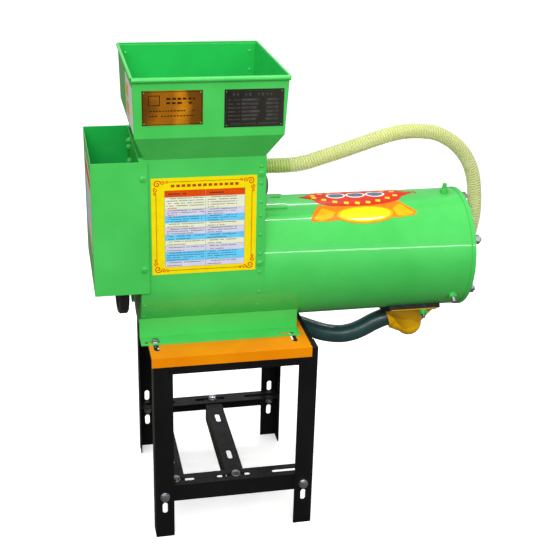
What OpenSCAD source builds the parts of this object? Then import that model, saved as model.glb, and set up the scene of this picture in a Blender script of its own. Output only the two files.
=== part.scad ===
// Tabletop-height starch machine: hopper and crusher on the left, separating barrel on the right,
// belt guard at the left end, all on a slotted angle-iron stand with motor rails.
// +X runs along the barrel, the front faces -Y, and +Z is up from the floor.

/* [Stand] */
// Width of the stand along X
stand_w = 345; // [320:1:380]
// Depth of the stand along Y
stand_d = 380; // [360:1:420]
// Height of the black frame
stand_h = 437; // [420:1:480]
// Leg width of every black angle iron
angle_w = 40; // [36:1:45]
// Thickness of the black angle iron
angle_t = 2.5; // [2:0.5:3]
// Height of the lower bars' underside
bar_z = 88; // [70:1:110]

/* [Housing] */
// Radius of the round trough and of the barrel, outside
round_r = 130; // [126:1:132]
// Height of the separator shaft
axis_z = 572; // [572:1:576]
// Length of the crusher casing along X
casing_l = 253; // [245:1:260]
// Height of the top of the crusher casing
casing_top = 838; // [835:1:842]
// Sheet thickness of the casing and the barrel
sheet = 2; // [1.5:0.5:2.5]
// Length of the barrel beyond the casing
barrel_l = 462; // [440:1:470]

/* [Hopper] */
// Width of the rim along X
rim_w = 301; // [295:1:305]
// Depth of the rim along Y
rim_d = 333; // [325:1:340]
// Height of the rim
rim_z = 1006; // [990:1:1020]
// Height of the bend where the walls turn inward
bend_z = 889; // [885:1:895]

/* [Drive] */
// Height of the crusher shaft
crusher_z = 735; // [733:1:737]
// Outer radius of the separator pulley
big_pulley_r = 106.5; // [100:0.5:112]
// Outer radius of the crusher pulley
small_pulley_r = 32; // [30:0.5:34]
// Distance from a motor rail's middle to each of its slots
slot_y = 81; // [75:1:85]
// Length of the motor slots
slot_l = 37; // [32:1:40]

/* [Hidden] */
$fn = 64;

// Places along X
stand_x = -144.5;
stand_left = stand_x - stand_w / 2;
stand_right = stand_x + stand_w / 2;
stand_front = -stand_d / 2;
casing_right = -79;
casing_left = casing_right - casing_l;
barrel_end = casing_right + barrel_l;
guard_left = -425;
guard_right = -315;
pulley_x = -364;
small_pulley_x = -386;

// Stand
gap = 0.2;
bolt_r = 5;
hole_r = 5.5;
bar_top = bar_z + angle_w;
leg_bolt_z = 102;
bar_y = stand_front + angle_t + 20;
rail_left_x = -270.5;
rail_right_x = -139;
rail_top = bar_top - angle_t - gap;
plate_t = 1.5;
plate_top = stand_h + plate_t;
plate_left = -320;
plate_right = 15;
plate_slots_at = [[-305, -1], [-305, 1], [-13.5, 1], [-13.5, -1]];
bolted_slots = 3;
plate_slot_y = 137;
lip = 22;

// Base rails under the trough and the barrel
base_t = 3;
base_left = -335;
base_l = 338;
base_out = 132.5;
base_in = 91.4;
base_slots_x = [-311, -25.5];
base_slot_y = 122;
base_bolts_at = [[-305, -1], [-305, 1], [-15, 1]];

// Casing, end plates and their fasteners
flange_l = 18;
plate_thick = 3;
rivet_r = 2;
screw_r = 3;
rivet_x = casing_right - 10;
front_rivets_z = [817, 782, 742, 713, 672, 630, 590];
front_screws_z = [802, 610];
round_rivets = [[rivet_x, -12.4], [rivet_x, -29], [casing_left + 6, -21.7], [casing_left + 6, -38]];
guard_gap = 4;
guard_bolt_x = -325;
guard_bolts_z = [802, 611];
big_pitch = 27;
small_pitch = 21;
pipe_r = 13;
inlet_y = -45;
inlet_z = 790;
inlet_end = -14;
drain_x = -190;
drain_r = 16.5;
drain_turn = 35;
drain_z = 397;

// Barrel and its end
barrel_in = round_r - sheet;
sieve_r = 112;
sieve_l = 440;
cover_t = 3;
cover_bolts = 6;
cover_bolt_r = 118;
sieve_bolt_angles = [87, -33, -153];
sieve_bolt_x = 347;
elbow_z = 520;
elbow_bend = 20;
elbow_turn = 80;
elbow_stub = 35;
stub_r = pipe_r + 0.4;

// Outlet under the barrel
spout_x = 273.5;
spout_l = 117;
spout_half = 37;
spout_hole_x = 279;
spout_hole_r = 38;
bowl_x = 291;
bowl_z = 387;
bowl_r = 30;
bowl_lean = 16;
collar_tilt = 18;
stud_x = 295;
stud_angles = [-123, -57];
flange_r = round_r + 10;

// Hopper
hopper_t = 1.5;
rim_x = -195;
bend_w = 290;
bend_x = -196.5;
bend_d = 322;
neck_w = 237.5;
neck_x = -200.3;
neck_d = 2 * round_r;
hem = 8;
hem_t = 1.5;
wall_w = rim_w - 2 * hem_t;
wall_d = rim_d - 2 * hem_t;

// Rotors
shaft_r = 15;
small_shaft_r = 12.5;
fit = 0.05;
drum_r = 55;
paddle_r = 96;
blade_r = 107;

// Route of each hose along its middle, from the sleeve on one pipe to the sleeve on the other
clear_r = 16;
clear_route = [[-72, -45, 790], [-14, -45, 790], [20, -45, 794], [58, -43, 804], [95, -41, 814],
    [130, -38, 824], [166, -34, 834], [204, -29, 843], [236, -24, 847], [267, -18, 846],
    [297, -13, 842], [325, -9, 834], [363, -4, 811], [393, -1, 779], [412, 0, 741], [422, 0, 692],
    [425, 0, 648], [420, 0, 605], [412.3, 0, 571], [407.5, 0, 544]];
dark_r = 20.5;
dark_route = [[249.3, 0, 408.3], [236, 0, 404], [221, 0, 399], [203, 2, 390], [182, 5, 377],
    [160, 10, 366], [135, 18, 359], [105, 33, 357], [78, 50, 360], [52, 66, 365], [24, 78, 371],
    [-15, 85, 379], [-55, 80, 387], [-92, 67, 393], [-122.1, 47.6, 397], [-157.3, 22.9, 397]];

// ---- Helpers ----

module slot(length, r, depth) {
    translate([-length / 2 + r, 0, 0]) cylinder(r = r, h = depth, center = true);
    translate([length / 2 - r, 0, 0]) cylinder(r = r, h = depth, center = true);
    cube([length - 2 * r, 2 * r, depth], center = true);
}

// Angle iron along X: one leg hangs down at y = 0, the other lies flat at the top towards +Y
module angle_x(length) {
    translate([-length / 2, 0, -angle_w]) cube([length, angle_t, angle_w]);
    translate([-length / 2, 0, -angle_t]) cube([length, angle_w, angle_t]);
}

// The same along Y, with the hanging leg at x = 0 and the flat one towards +X
module angle_y(length) { mirror([1, 0, 0]) rotate([0, 0, 90]) angle_x(length); }

module on_front(x, z) { translate([x, -round_r, z]) rotate([90, 0, 0]) children(); }

module front_and_back() {
    children();
    mirror([0, 1, 0]) children();
}

// A place on the round trough or barrel, at an angle above the front, with +Z pointing outward
module on_round(x, angle, r) {
    translate([x, 0, axis_z]) rotate([90 - angle, 0, 0]) translate([0, 0, r]) children();
}

module around_x(x, z) { translate([x, 0, z]) rotate([0, 90, 0]) children(); }

// Hexagon of a bolt head or nut, its corners along Y
module hexagon(across, h) { rotate([0, 0, 90]) cylinder(r = across / 1.732, h = h, $fn = 6); }

// Hex bolt along -Z from the seat at z = 0, with its nut under the grip
module hex_bolt(across, head_h, r, grip, tail) {
    hexagon(across, head_h);
    translate([0, 0, -grip - tail]) cylinder(r = r, h = grip + tail + head_h / 2);
    translate([0, 0, -grip - head_h]) hexagon(across, head_h);
}

module dome(r, h) {
    ball = (r * r + h * h) / (2 * h);
    intersection() {
        translate([0, 0, h - ball]) sphere(r = ball);
        cylinder(r = r, h = h);
    }
}

function unit(v) = v / norm(v);
function heading(path, i) = unit(path[min(i + 1, len(path) - 1)] - path[max(i - 1, 0)]);
function ring(path, i, r, up, sides) =
    let (t = heading(path, i), a = unit(cross(t, up)), b = cross(a, t))
    [for (k = [0:sides - 1]) path[i] + r * (cos(360 * k / sides) * a + sin(360 * k / sides) * b)];

// A round tube swept along a route
module hose(path, r, up, sides = 12) {
    n = len(path);
    points = [for (i = [0:n - 1]) each ring(path, i, r, up, sides)];
    walls = [for (i = [0:n - 2], k = [0:sides - 1])
        let (a = i * sides + k, b = i * sides + (k + 1) % sides) [a, b, b + sides, a + sides]];
    ends = [[for (k = [sides - 1:-1:0]) k], [for (k = [0:sides - 1]) (n - 1) * sides + k]];
    polyhedron(points = points, faces = concat(walls, ends), convexity = 6);
}

// ---- Stand ----

// Corner post with its flanges towards +X and +Y from the outer corner
module leg(slots_z) {
    color("#1c1d20") difference() {
        union() {
            cube([angle_w, angle_t, stand_h]);
            cube([angle_t, angle_w, stand_h]);
        }
        for (z = slots_z)
            translate([20, 0, z]) rotate([90, 90, 0]) slot(27, hole_r, 3 * angle_t);
        translate([20, 0, leg_bolt_z]) rotate([90, 0, 0]) cylinder(r = hole_r, h = 20, center = true);
    }
}

module leg_front_left() { translate([stand_left, stand_front, 0]) leg([74]); }
module leg_front_right() {
    translate([stand_right, stand_front, 0]) mirror([1, 0, 0]) leg([74]);
}
module leg_back_left() {
    translate([stand_left, -stand_front, 0]) mirror([0, 1, 0]) leg([73, 141]);
}
module leg_back_right() {
    translate([stand_right, -stand_front, 0]) mirror([1, 0, 0]) mirror([0, 1, 0]) leg([73, 141]);
}

module cross_bar(z) {
    translate([stand_x, stand_front + angle_t, z])
        angle_x(stand_w - 2 * angle_t - 2 * gap);
}

module top_rail_front() { color("#1c1d20") cross_bar(stand_h); }
module top_rail_back() { color("#1c1d20") mirror([0, 1, 0]) cross_bar(stand_h); }

module top_rail_left() {
    color("#1c1d20") difference() {
        translate([stand_left + angle_t, 0, stand_h])
            angle_y(stand_d - 2 * (angle_t + angle_w + gap));
        plate_slots(bolted_slots);
    }
}

module top_rail_right() {
    color("#1c1d20") difference() {
        translate([stand_right - angle_t, 0, stand_h]) mirror([1, 0, 0])
            angle_y(stand_d - 2 * (angle_t + angle_w + gap));
        plate_slots(bolted_slots);
    }
}

module lower_bar() {
    color("#1c1d20") difference() {
        cross_bar(bar_top);
        for (x = [-122.5, 0, 122.5])
            translate([stand_x + x, bar_y, bar_top]) slot(74, hole_r, 3 * angle_t);
        for (x = [stand_left + 20, stand_right - 20])
            translate([x, stand_front, leg_bolt_z]) rotate([90, 0, 0])
                cylinder(r = hole_r, h = 20, center = true);
    }
}

module lower_bar_front() { lower_bar(); }
module lower_bar_back() { mirror([0, 1, 0]) lower_bar(); }

module stand_bolts() {
    color("#b9bcc0") front_and_back() for (x = [stand_left + 20, stand_right - 20])
        translate([x, stand_front, leg_bolt_z]) rotate([90, 0, 0])
            hex_bolt(17, 6.5, bolt_r, 2 * angle_t, 12);
}

// Slots through the top plate, and through the side rails under it where a bolt passes
module plate_slots(count) {
    for (i = [0:count - 1])
        translate([plate_slots_at[i][0], plate_slots_at[i][1] * plate_slot_y, stand_h])
            rotate([0, 0, 90]) slot(44, hole_r, 20);
}

module top_plate() {
    color("#f5931c") difference() {
        union() {
            translate([plate_left, stand_front, stand_h])
                cube([plate_right - plate_left, stand_d, plate_t]);
            front_and_back() translate([plate_left, stand_front - plate_t, plate_top - lip])
                cube([plate_right - plate_left, plate_t, lip]);
        }
        plate_slots(4);
        translate([drain_x, 0, stand_h]) cylinder(r = drain_r + 12, h = 20, center = true);
    }
}

// Motor rail: angle iron along Y under the lower bars, its hanging leg cut short between them
module motor_rail(x) {
    length = stand_d - 4 * angle_t - 4 * gap;
    color("#1c1d20") difference() {
        translate([x - angle_w / 2, 0, rail_top]) angle_y(length);
        for (side = [-1, 1]) {
            translate([x, side * slot_y, rail_top]) rotate([0, 0, 90]) slot(slot_l, hole_r, 20);
            translate([x, side * bar_y, rail_top]) cylinder(r = bolt_r + 0.2, h = 20, center = true);
            translate([x, side * stand_d / 2, rail_top - angle_t - 50])
                cube([100, 2 * (angle_t + angle_w) + 10, 100], center = true);
        }
    }
}

module motor_rail_bolts(x) {
    color("#b9bcc0") front_and_back() translate([x, bar_y, bar_top + gap])
        hex_bolt(17, 6.5, bolt_r, 2 * angle_t + 2 * gap, 12);
}

module motor_rail_left() { motor_rail(rail_left_x); }
module motor_rail_left_bolts() { motor_rail_bolts(rail_left_x); }
module motor_rail_right() { motor_rail(rail_right_x); }
module motor_rail_right_bolts() { motor_rail_bolts(rail_right_x); }

// ---- Base rails ----

module base_rail() {
    color("#3ecb5a") difference() {
        union() {
            translate([base_left, -base_out, plate_top])
                cube([base_l, base_out - base_in, base_t]);
            translate([base_left, -base_in - base_t, plate_top]) cube([base_l, base_t, 48]);
        }
        for (x = base_slots_x)
            translate([x, -base_slot_y, plate_top]) slot(32, hole_r, 20);
        around_x(base_left - 1, axis_z) cylinder(r = round_r + 0.05, h = base_l + 2);
    }
}

module base_rail_front() { base_rail(); }
module base_rail_back() { mirror([0, 1, 0]) base_rail(); }

// M8 bolt with a washer, through the base rail, the top plate and the side rail
module washered_bolt() {
    grip = base_t + plate_t + angle_t;
    cylinder(r = 8.5, h = 1.6);
    translate([0, 0, 1.6]) hex_bolt(13, 5.5, 4, grip + 1.6, 10);
}

module base_bolts() {
    color("#b9bcc0") for (p = base_bolts_at)
        translate([p[0], p[1] * base_slot_y, plate_top + base_t])
            washered_bolt();
}

// ---- Crusher casing ----

// U-shaped outline in the YZ plane, closed at the top
module u_outline(r, top) {
    translate([0, axis_z]) circle(r = r);
    translate([-r, axis_z]) square([2 * r, top - axis_z]);
}

// Extrudes a YZ outline along +X from x
module along_x(x, length) {
    translate([x, 0, 0]) rotate([90, 0, 90]) linear_extrude(height = length) children();
}

module rivet_holes(r) {
    front_and_back() {
        for (z = front_rivets_z) on_front(rivet_x, z) cylinder(r = r, h = 20, center = true);
        for (p = round_rivets) on_round(p[0], p[1], round_r) cylinder(r = r, h = 20, center = true);
    }
}

module screw_holes(r) {
    front_and_back() {
        for (z = front_screws_z) on_front(rivet_x, z) cylinder(r = r, h = 20, center = true);
        for (z = guard_bolts_z) on_front(guard_bolt_x, z) cylinder(r = r, h = 20, center = true);
    }
}

module crusher_casing() {
    color("#3ecb5a") difference() {
        along_x(casing_left, casing_l) difference() {
            u_outline(round_r, casing_top);
            u_outline(barrel_in, casing_top - sheet);
            translate([-round_r + 16, casing_top - 5]) square([2 * round_r - 32, 10]);
        }
        rivet_holes(rivet_r + 0.1);
        screw_holes(screw_r + 0.1);
        translate([drain_x, 0, axis_z - round_r]) cylinder(r = drain_r - 3, h = 20, center = true);
    }
}

// End plate with a riveted flange that turns inward along the casing
module end_plate(x, flange_x) {
    along_x(x, plate_thick) u_outline(barrel_in - 0.05, casing_top - sheet - 0.5);
    along_x(flange_x, flange_l) difference() {
        u_outline(barrel_in - 0.05, casing_top - sheet - 0.5);
        u_outline(barrel_in - sheet, casing_top + 5);
    }
}

module at_corners(pitch) {
    for (x = [-pitch, pitch], y = [-pitch, pitch]) translate([x, y, 0]) children();
}

module left_end_plate() {
    color("#35b94f") difference() {
        end_plate(casing_left, casing_left + plate_thick);
        around_x(casing_left, axis_z) {
            cylinder(r = shaft_r + 4, h = 60, center = true);
            at_corners(big_pitch) cylinder(r = 4.2, h = 60, center = true);
        }
        around_x(casing_left, crusher_z) {
            cylinder(r = small_shaft_r + 4, h = 60, center = true);
            at_corners(small_pitch) cylinder(r = 4.2, h = 60, center = true);
        }
        rivet_holes(rivet_r + 0.1);
        screw_holes(screw_r + 0.1);
    }
}

module right_end_plate() {
    color("#35b94f") difference() {
        end_plate(casing_right - plate_thick, casing_right - plate_thick - flange_l);
        around_x(casing_right, axis_z) cylinder(r = sieve_r - 2, h = 60, center = true);
        around_x(casing_right, crusher_z) {
            cylinder(r = small_shaft_r + 4, h = 60, center = true);
            at_corners(small_pitch) cylinder(r = 4.2, h = 60, center = true);
        }
        translate([0, inlet_y, 0]) around_x(casing_right, inlet_z)
            cylinder(r = pipe_r - 3, h = 60, center = true);
        rivet_holes(rivet_r + 0.1);
        screw_holes(screw_r + 0.1);
    }
}

module rivet() {
    dome(4, 1.8);
    translate([0, 0, -2 * sheet - 0.5]) cylinder(r = rivet_r, h = 2 * sheet + 1);
}

module casing_rivets() {
    color("#3ecb5a") front_and_back() {
        for (z = front_rivets_z) on_front(rivet_x, z) rivet();
        for (p = round_rivets) on_round(p[0], p[1], round_r) rivet();
    }
}

// Round-headed screw with a flange and a hexagon socket
module pan_screw(grip) {
    difference() {
        union() {
            cylinder(r = 7.5, h = 1.3);
            dome(6.2, 4.4);
        }
        translate([0, 0, 2]) cylinder(r = 2.6, h = 5, $fn = 6);
    }
    translate([0, 0, -grip - 6]) cylinder(r = screw_r, h = grip + 7);
}

module casing_screws() {
    color("#3ecb5a") front_and_back()
        for (z = front_screws_z) on_front(rivet_x, z) pan_screw(2 * sheet);
}

// Two sloping sheets that lead the roots from the neck of the hopper onto the drum
module feed_chute() {
    color("#35b94f") front_and_back() along_x(casing_left + plate_thick, casing_l - 2 * plate_thick)
        polygon([[-125.5, 828], [-123.5, 830], [-60, 756], [-60, 740], [-62, 740], [-62, 755]]);
}

module crusher_sieve() {
    color("#9aa0a6") along_x(casing_left + plate_thick, casing_l - 2 * plate_thick) difference() {
        translate([0, crusher_z]) circle(r = 60);
        translate([0, crusher_z]) circle(r = 58);
        translate([-80, crusher_z + 2]) square([160, 80]);
    }
}

module inlet_pipe() {
    color("#3ecb5a") translate([0, inlet_y, 0]) around_x(casing_right, inlet_z) difference() {
        cylinder(r = pipe_r, h = inlet_end - casing_right);
        translate([0, 0, -1]) cylinder(r = pipe_r - 3, h = 200);
    }
}

// Bent pipe that starts at the origin along +X and turns up towards +Z
module bent_pipe(r, wall, bend, turn) {
    translate([0, 0, bend]) rotate([90, 90, 0])
        rotate_extrude(angle = turn) translate([bend, 0]) difference() {
            circle(r = r);
            circle(r = r - wall);
        }
}

module straight_pipe(r, wall, length) {
    difference() {
        cylinder(r = r, h = length);
        translate([0, 0, -1]) cylinder(r = r - wall, h = length + 2);
    }
}

// Drain under the trough: straight down through the top plate, then level towards the back right
module drain_elbow() {
    bend = 22;
    bottom = axis_z - round_r + 3;
    color("#3ecb5a") translate([drain_x, 0, drain_z]) rotate([0, 0, drain_turn]) {
        difference() {
            translate([0, 0, bend]) straight_pipe(drain_r, 3, bottom - drain_z - bend);
            translate([0, 0, axis_z - drain_z]) rotate([0, 90, -drain_turn])
                cylinder(r = round_r, h = 120, center = true);
        }
        translate([0, 0, bend]) rotate([0, 90, 0]) bent_pipe(drain_r, 3, bend, 90);
        translate([bend, 0, 0]) rotate([0, 90, 0]) straight_pipe(drain_r, 3, 61);
    }
}

// ---- Barrel ----

module barrel() {
    color("#3ecb5a") difference() {
        around_x(casing_right, axis_z) difference() {
            union() {
                cylinder(r = round_r, h = barrel_l);
                translate([0, 0, barrel_l - 6]) cylinder(r = round_r + 2, h = 6);
            }
            translate([0, 0, -1]) cylinder(r = barrel_in, h = barrel_l + 2);
        }
        translate([spout_hole_x, 0, axis_z - round_r])
            cylinder(r = spout_hole_r, h = 60, center = true);
        for (a = sieve_bolt_angles)
            on_round(sieve_bolt_x, a, round_r) cylinder(r = bolt_r + 0.1, h = 20, center = true);
        for (a = stud_angles)
            on_round(stud_x, a, round_r) cylinder(r = 4.1, h = 20, center = true);
    }
}

// Curved shell on the outside of the barrel between two angles
module barrel_shell(x, length, r1, r2, middle, half) {
    translate([x, 0, axis_z]) rotate([90 - middle, 0, 0]) intersection() {
        rotate([0, 90, 0]) difference() {
            cylinder(r = r2, h = length);
            translate([0, 0, -1]) cylinder(r = r1, h = length + 2);
        }
        translate([-1, 0, 0]) rotate([90, 0, 90]) linear_extrude(height = length + 2)
            polygon([[0, 0], [-300 * tan(half), 300], [300 * tan(half), 300]]);
    }
}

module barrel_strap() {
    color("#2da647") difference() {
        barrel_shell(casing_right, 66, round_r, round_r + 3, 90, 20);
        translate([-32, 0, axis_z + round_r]) slot(22, 5.5, 20);
    }
}

module separator_sieve() {
    color("#9aa0a6") around_x(casing_right + 0.2, axis_z) difference() {
        union() {
            cylinder(r = sieve_r + 1, h = sieve_l);
            for (i = [0:4]) translate([0, 0, i * (sieve_l - 8) / 4])
                cylinder(r = sieve_r + 4, h = 8);
        }
        translate([0, 0, -1]) cylinder(r = sieve_r, h = barrel_l + 2);
    }
}

// Three screws that centre the sieve in the barrel
module sieve_bolts() {
    color("#8fd08f") for (a = sieve_bolt_angles) on_round(sieve_bolt_x, a, round_r) {
        translate([0, 0, sieve_r + 1.2 - round_r]) cylinder(r = bolt_r, h = 38);
        translate([0, 0, 0.3]) hexagon(16, 5);
    }
}

module cover_bolt_places() {
    for (i = [0:cover_bolts - 1]) rotate([33 - 360 * i / cover_bolts, 0, 0])
        translate([barrel_end, -cover_bolt_r, 0]) rotate([0, 90, 0]) children();
}

module end_cover() {
    color("#3ecb5a") difference() {
        around_x(barrel_end, axis_z) union() {
            cylinder(r = round_r + 2, h = cover_t);
            translate([0, 0, -30]) difference() {
                cylinder(r = barrel_in - 0.2, h = 30);
                translate([0, 0, -1]) cylinder(r = barrel_in - 3, h = 40);
            }
        }
        around_x(barrel_end, axis_z) cylinder(r = shaft_r + 3, h = 60, center = true);
        around_x(barrel_end, elbow_z) cylinder(r = pipe_r - 3, h = 60, center = true);
        translate([0, 0, axis_z]) cover_bolt_places() cylinder(r = 6.2, h = 20, center = true);
    }
}

module end_cover_bolts() {
    color("#b9bcc0") translate([0, 0, axis_z]) cover_bolt_places() {
        translate([0, 0, cover_t]) cylinder(r = 11.5, h = 2);
        translate([0, 0, cover_t + 2]) hexagon(18, 10);
        translate([0, 0, -10]) cylinder(r = 6, h = 29);
    }
}

// Pipe that leaves the end cover and turns up
module outlet_elbow() {
    color("#3ecb5a") translate([barrel_end + cover_t, 0, elbow_z]) {
        bent_pipe(pipe_r, 3, elbow_bend, elbow_turn);
        outlet_stub() translate([0, 0, -1]) straight_pipe(stub_r, 3, elbow_stub + 1);
    }
}

module outlet_stub() {
    translate([elbow_bend * sin(elbow_turn), 0, elbow_bend * (1 - cos(elbow_turn))])
        rotate([0, 90 - elbow_turn, 0]) children();
}

// ---- Outlet under the barrel ----

module spout_gasket() {
    color("#23262b") difference() {
        barrel_shell(spout_x - spout_l / 2, spout_l, round_r + 0.1, flange_r - 0.1, -90, spout_half);
        translate([spout_hole_x, 0, axis_z - round_r])
            cylinder(r = spout_hole_r, h = 80, center = true);
        for (a = stud_angles)
            on_round(stud_x, a, round_r) cylinder(r = 4.3, h = 30, center = true);
    }
}

module bowl(shrink) {
    translate([bowl_x, 0, bowl_z]) {
        sphere(r = bowl_r - shrink);
        rotate([0, -bowl_lean, 0]) translate([0, 0, -8])
            cylinder(r1 = bowl_r - 2.6 - shrink, r2 = 54 - shrink, h = 70);
    }
}

module at_collar() {
    translate([236, 0, 404]) rotate([0, 90 - collar_tilt, 0]) children();
}

module outlet_spout() {
    color("#f0b40a") difference() {
        union() {
            barrel_shell(spout_x - spout_l / 2 + 5, spout_l - 10, flange_r, flange_r + 2, -90,
                spout_half - 1.5);
            translate([bowl_x, 0, bowl_z]) rotate([0, -76, 0]) cylinder(r1 = 28, r2 = 21, h = 42);
            difference() {
                bowl(0);
                around_x(200, axis_z) cylinder(r = flange_r, h = 200);
            }
            difference() {
                at_collar() cylinder(r = 24.5, h = 45);
                around_x(200, axis_z) cylinder(r = flange_r, h = 200);
            }
        }
        bowl(3);
        at_collar() translate([0, 0, -1]) cylinder(r = dark_r + 0.1, h = 15.1);
        at_collar() cylinder(r = dark_r - 3, h = 50);
        for (a = stud_angles)
            on_round(stud_x, a, round_r) cylinder(r = 4.3, h = 30, center = true);
    }
}

module spout_studs() {
    color("#b9bcc0") for (a = stud_angles)
        on_round(stud_x, a, barrel_in + 1) cylinder(r = 4, h = 32);
}

module spout_wing_nuts() {
    color("#3ecb5a") for (a = stud_angles) on_round(stud_x, a, flange_r + 2.2) difference() {
        union() {
            cylinder(r1 = 8.5, r2 = 6.5, h = 10);
            rotate([0, 0, 75]) for (s = [-1, 1]) translate([s * 9, 0, 8]) rotate([90, 0, 0])
                cylinder(r = 5, h = 3, center = true);
        }
        translate([0, 0, -1]) cylinder(r = 4.05, h = 20);
    }
}

// ---- Hopper ----

// Bent wall seen along its length: rim, bend and neck, with the rim folded outward into a hem
module wall_profile(rim, bend, neck) {
    t = hopper_t;
    polygon([[rim, rim_z], [bend, bend_z], [neck, casing_top], [neck + 1.6 * t, casing_top],
        [bend + t, bend_z + 0.4], [rim + t, rim_z]]);
    polygon([[rim - hem_t, rim_z], [rim - hem_t, rim_z - hem], [rim + 1, rim_z - hem],
        [rim + 1, rim_z]]);
}

// Outline that trims a front or back wall, seen along Y
module front_trim() {
    right = rim_x + wall_w / 2;
    left = rim_x - wall_w / 2;
    polygon([[left - hem_t, rim_z], [right + hem_t, rim_z], [right + hem_t, rim_z - hem],
        [right, rim_z - hem], [bend_x + bend_w / 2, bend_z], [neck_x + neck_w / 2, casing_top],
        [neck_x - neck_w / 2, casing_top], [bend_x - bend_w / 2, bend_z], [left, rim_z - hem],
        [left - hem_t, rim_z - hem]]);
}

// Outline that trims a side wall, seen along X
module side_trim() {
    half = [wall_d / 2, bend_d / 2, neck_d / 2] - [1, 1, 1.6] * (hopper_t + 0.1);
    polygon([[-half[0], rim_z], [half[0], rim_z], [half[1], bend_z],
        [half[2], casing_top], [-half[2], casing_top], [-half[1], bend_z]]);
}

module hopper_front() {
    color("#3ecb5a") intersection() {
        along_x(-400, 400) wall_profile(-wall_d / 2, -bend_d / 2, -neck_d / 2);
        rotate([90, 0, 0]) linear_extrude(height = 600, center = true) front_trim();
    }
}

module hopper_back() { mirror([0, 1, 0]) hopper_front(); }

module side_wall(rim, bend, neck) {
    intersection() {
        rotate([90, 0, 0]) linear_extrude(height = 600, center = true) wall_profile(rim, bend, neck);
        along_x(-600, 1000) side_trim();
    }
}

module hopper_left() {
    color("#3ecb5a")
        side_wall(rim_x - wall_w / 2, bend_x - bend_w / 2, neck_x - neck_w / 2);
}

module hopper_right() {
    color("#3ecb5a") mirror([1, 0, 0])
        side_wall(-rim_x - wall_w / 2, -bend_x - bend_w / 2, -neck_x - neck_w / 2);
}

// How far a front or back wall stands from the middle at a height above the bend
function wall_y(z) = (bend_d + (wall_d - bend_d) * (z - bend_z) / (rim_z - bend_z)) / 2;

// Rivets near the four upright corners, heads inside
module hopper_rivets() {
    color("#3ecb5a") front_and_back()
        for (z = [985, 945, 905], x = [rim_x - 134, rim_x + 134])
            translate([x, hopper_t + 0.2 - wall_y(z), z]) rotate([-90, 0, 0]) dome(3.5, 1.6);
}

// Places a thin plate on the sloping front wall
module on_hopper(x, z) {
    lean = atan((wall_d - bend_d) / 2 / (rim_z - bend_z));
    translate([x, -wall_y(z), z]) rotate([90 + lean, 0, 0]) children();
}

module name_plate(w, h) {
    difference() {
        translate([-w / 2, -h / 2, 0]) cube([w, h, 0.8]);
        for (x = [-1, 1], y = [-1, 1])
            translate([x * (w / 2 - 4), y * (h / 2 - 4), 0]) cylinder(r = 1.5, h = 4, center = true);
    }
}

module gold_plate() { color("#a8650c") on_hopper(-269, 948) name_plate(115, 67); }
module black_plate() { color("#2b2a28") on_hopper(-113, 944) name_plate(115, 74); }

// ---- Belt guard ----

module belt_guard() {
    low = 558;
    high = 835.5;
    t = 1.2;
    outer = round_r + guard_gap + t;
    color("#3ecb5a") difference() {
        union() {
            translate([guard_left, -outer, low]) cube([t, 2 * outer, high - low]);
            front_and_back() translate([guard_left, -outer, low])
                cube([guard_right - guard_left, t, high - low]);
        }
        for (z = guard_bolts_z) translate([guard_bolt_x, 0, z]) rotate([90, 0, 0])
            cylinder(r = screw_r + 0.1, h = 400, center = true);
    }
}

// Screws that hold the guard off the casing on spacers
module guard_bolts() {
    color("#3ecb5a") front_and_back() for (z = guard_bolts_z) on_front(guard_bolt_x, z) {
        translate([0, 0, 0.05]) cylinder(r = 6, h = guard_gap - 0.1);
        translate([0, 0, guard_gap + 1.3]) pan_screw(2 * sheet + guard_gap + 1.3);
    }
}

// ---- Bearings ----

// Flanged bearing that stands along X from its seat, with four bolts at the given pitch
module flange_bearing(r, boss_r, length, pitch, closed) {
    difference() {
        union() {
            translate([-pitch - 7, -pitch - 7, 0]) cube([2 * pitch + 14, 2 * pitch + 14, 9]);
            cylinder(r = boss_r, h = length);
            if (closed) translate([0, 0, length]) dome(boss_r, 4);
        }
        translate([0, 0, -1]) cylinder(r = r, h = closed ? length - 1 : length + 2);
    }
    at_corners(pitch) {
        translate([0, 0, 9]) hexagon(13, 5);
        translate([0, 0, -6]) cylinder(r = 4, h = 18);
    }
}

module bearing_separator_left() {
    color("#5b6066") around_x(casing_left, axis_z) mirror([0, 0, 1])
        flange_bearing(shaft_r + fit, 24, 14, big_pitch, false);
}

module bearing_crusher_left() {
    color("#5b6066") around_x(casing_left, crusher_z) mirror([0, 0, 1])
        flange_bearing(small_shaft_r + fit, 21, 16, small_pitch, false);
}

module bearing_crusher_right() {
    color("#5b6066") around_x(casing_right, crusher_z)
        flange_bearing(small_shaft_r + fit, 21, 27, small_pitch, true);
}

// Cartridge bearing inside the end cover, closed by a low cap outside
module bearing_separator_right() {
    color("#5b6066") around_x(barrel_end, axis_z) difference() {
        union() {
            translate([0, 0, -30]) cylinder(r = 36, h = 30);
            cylinder(r = shaft_r + 2.9, h = cover_t);
            translate([0, 0, cover_t]) cylinder(r = 25, h = 3);
            translate([0, 0, cover_t + 3]) dome(25, 3);
        }
        translate([0, 0, -31]) cylinder(r = shaft_r + fit, h = 29);
    }
}

// ---- Rotors ----

module separator_shaft() {
    color("#a9adb2") around_x(-376, axis_z) difference() {
        cylinder(r = shaft_r, h = barrel_end - 4 + 376);
        translate([11, -4, -1]) cube([6, 8, 28]);
    }
}

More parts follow.
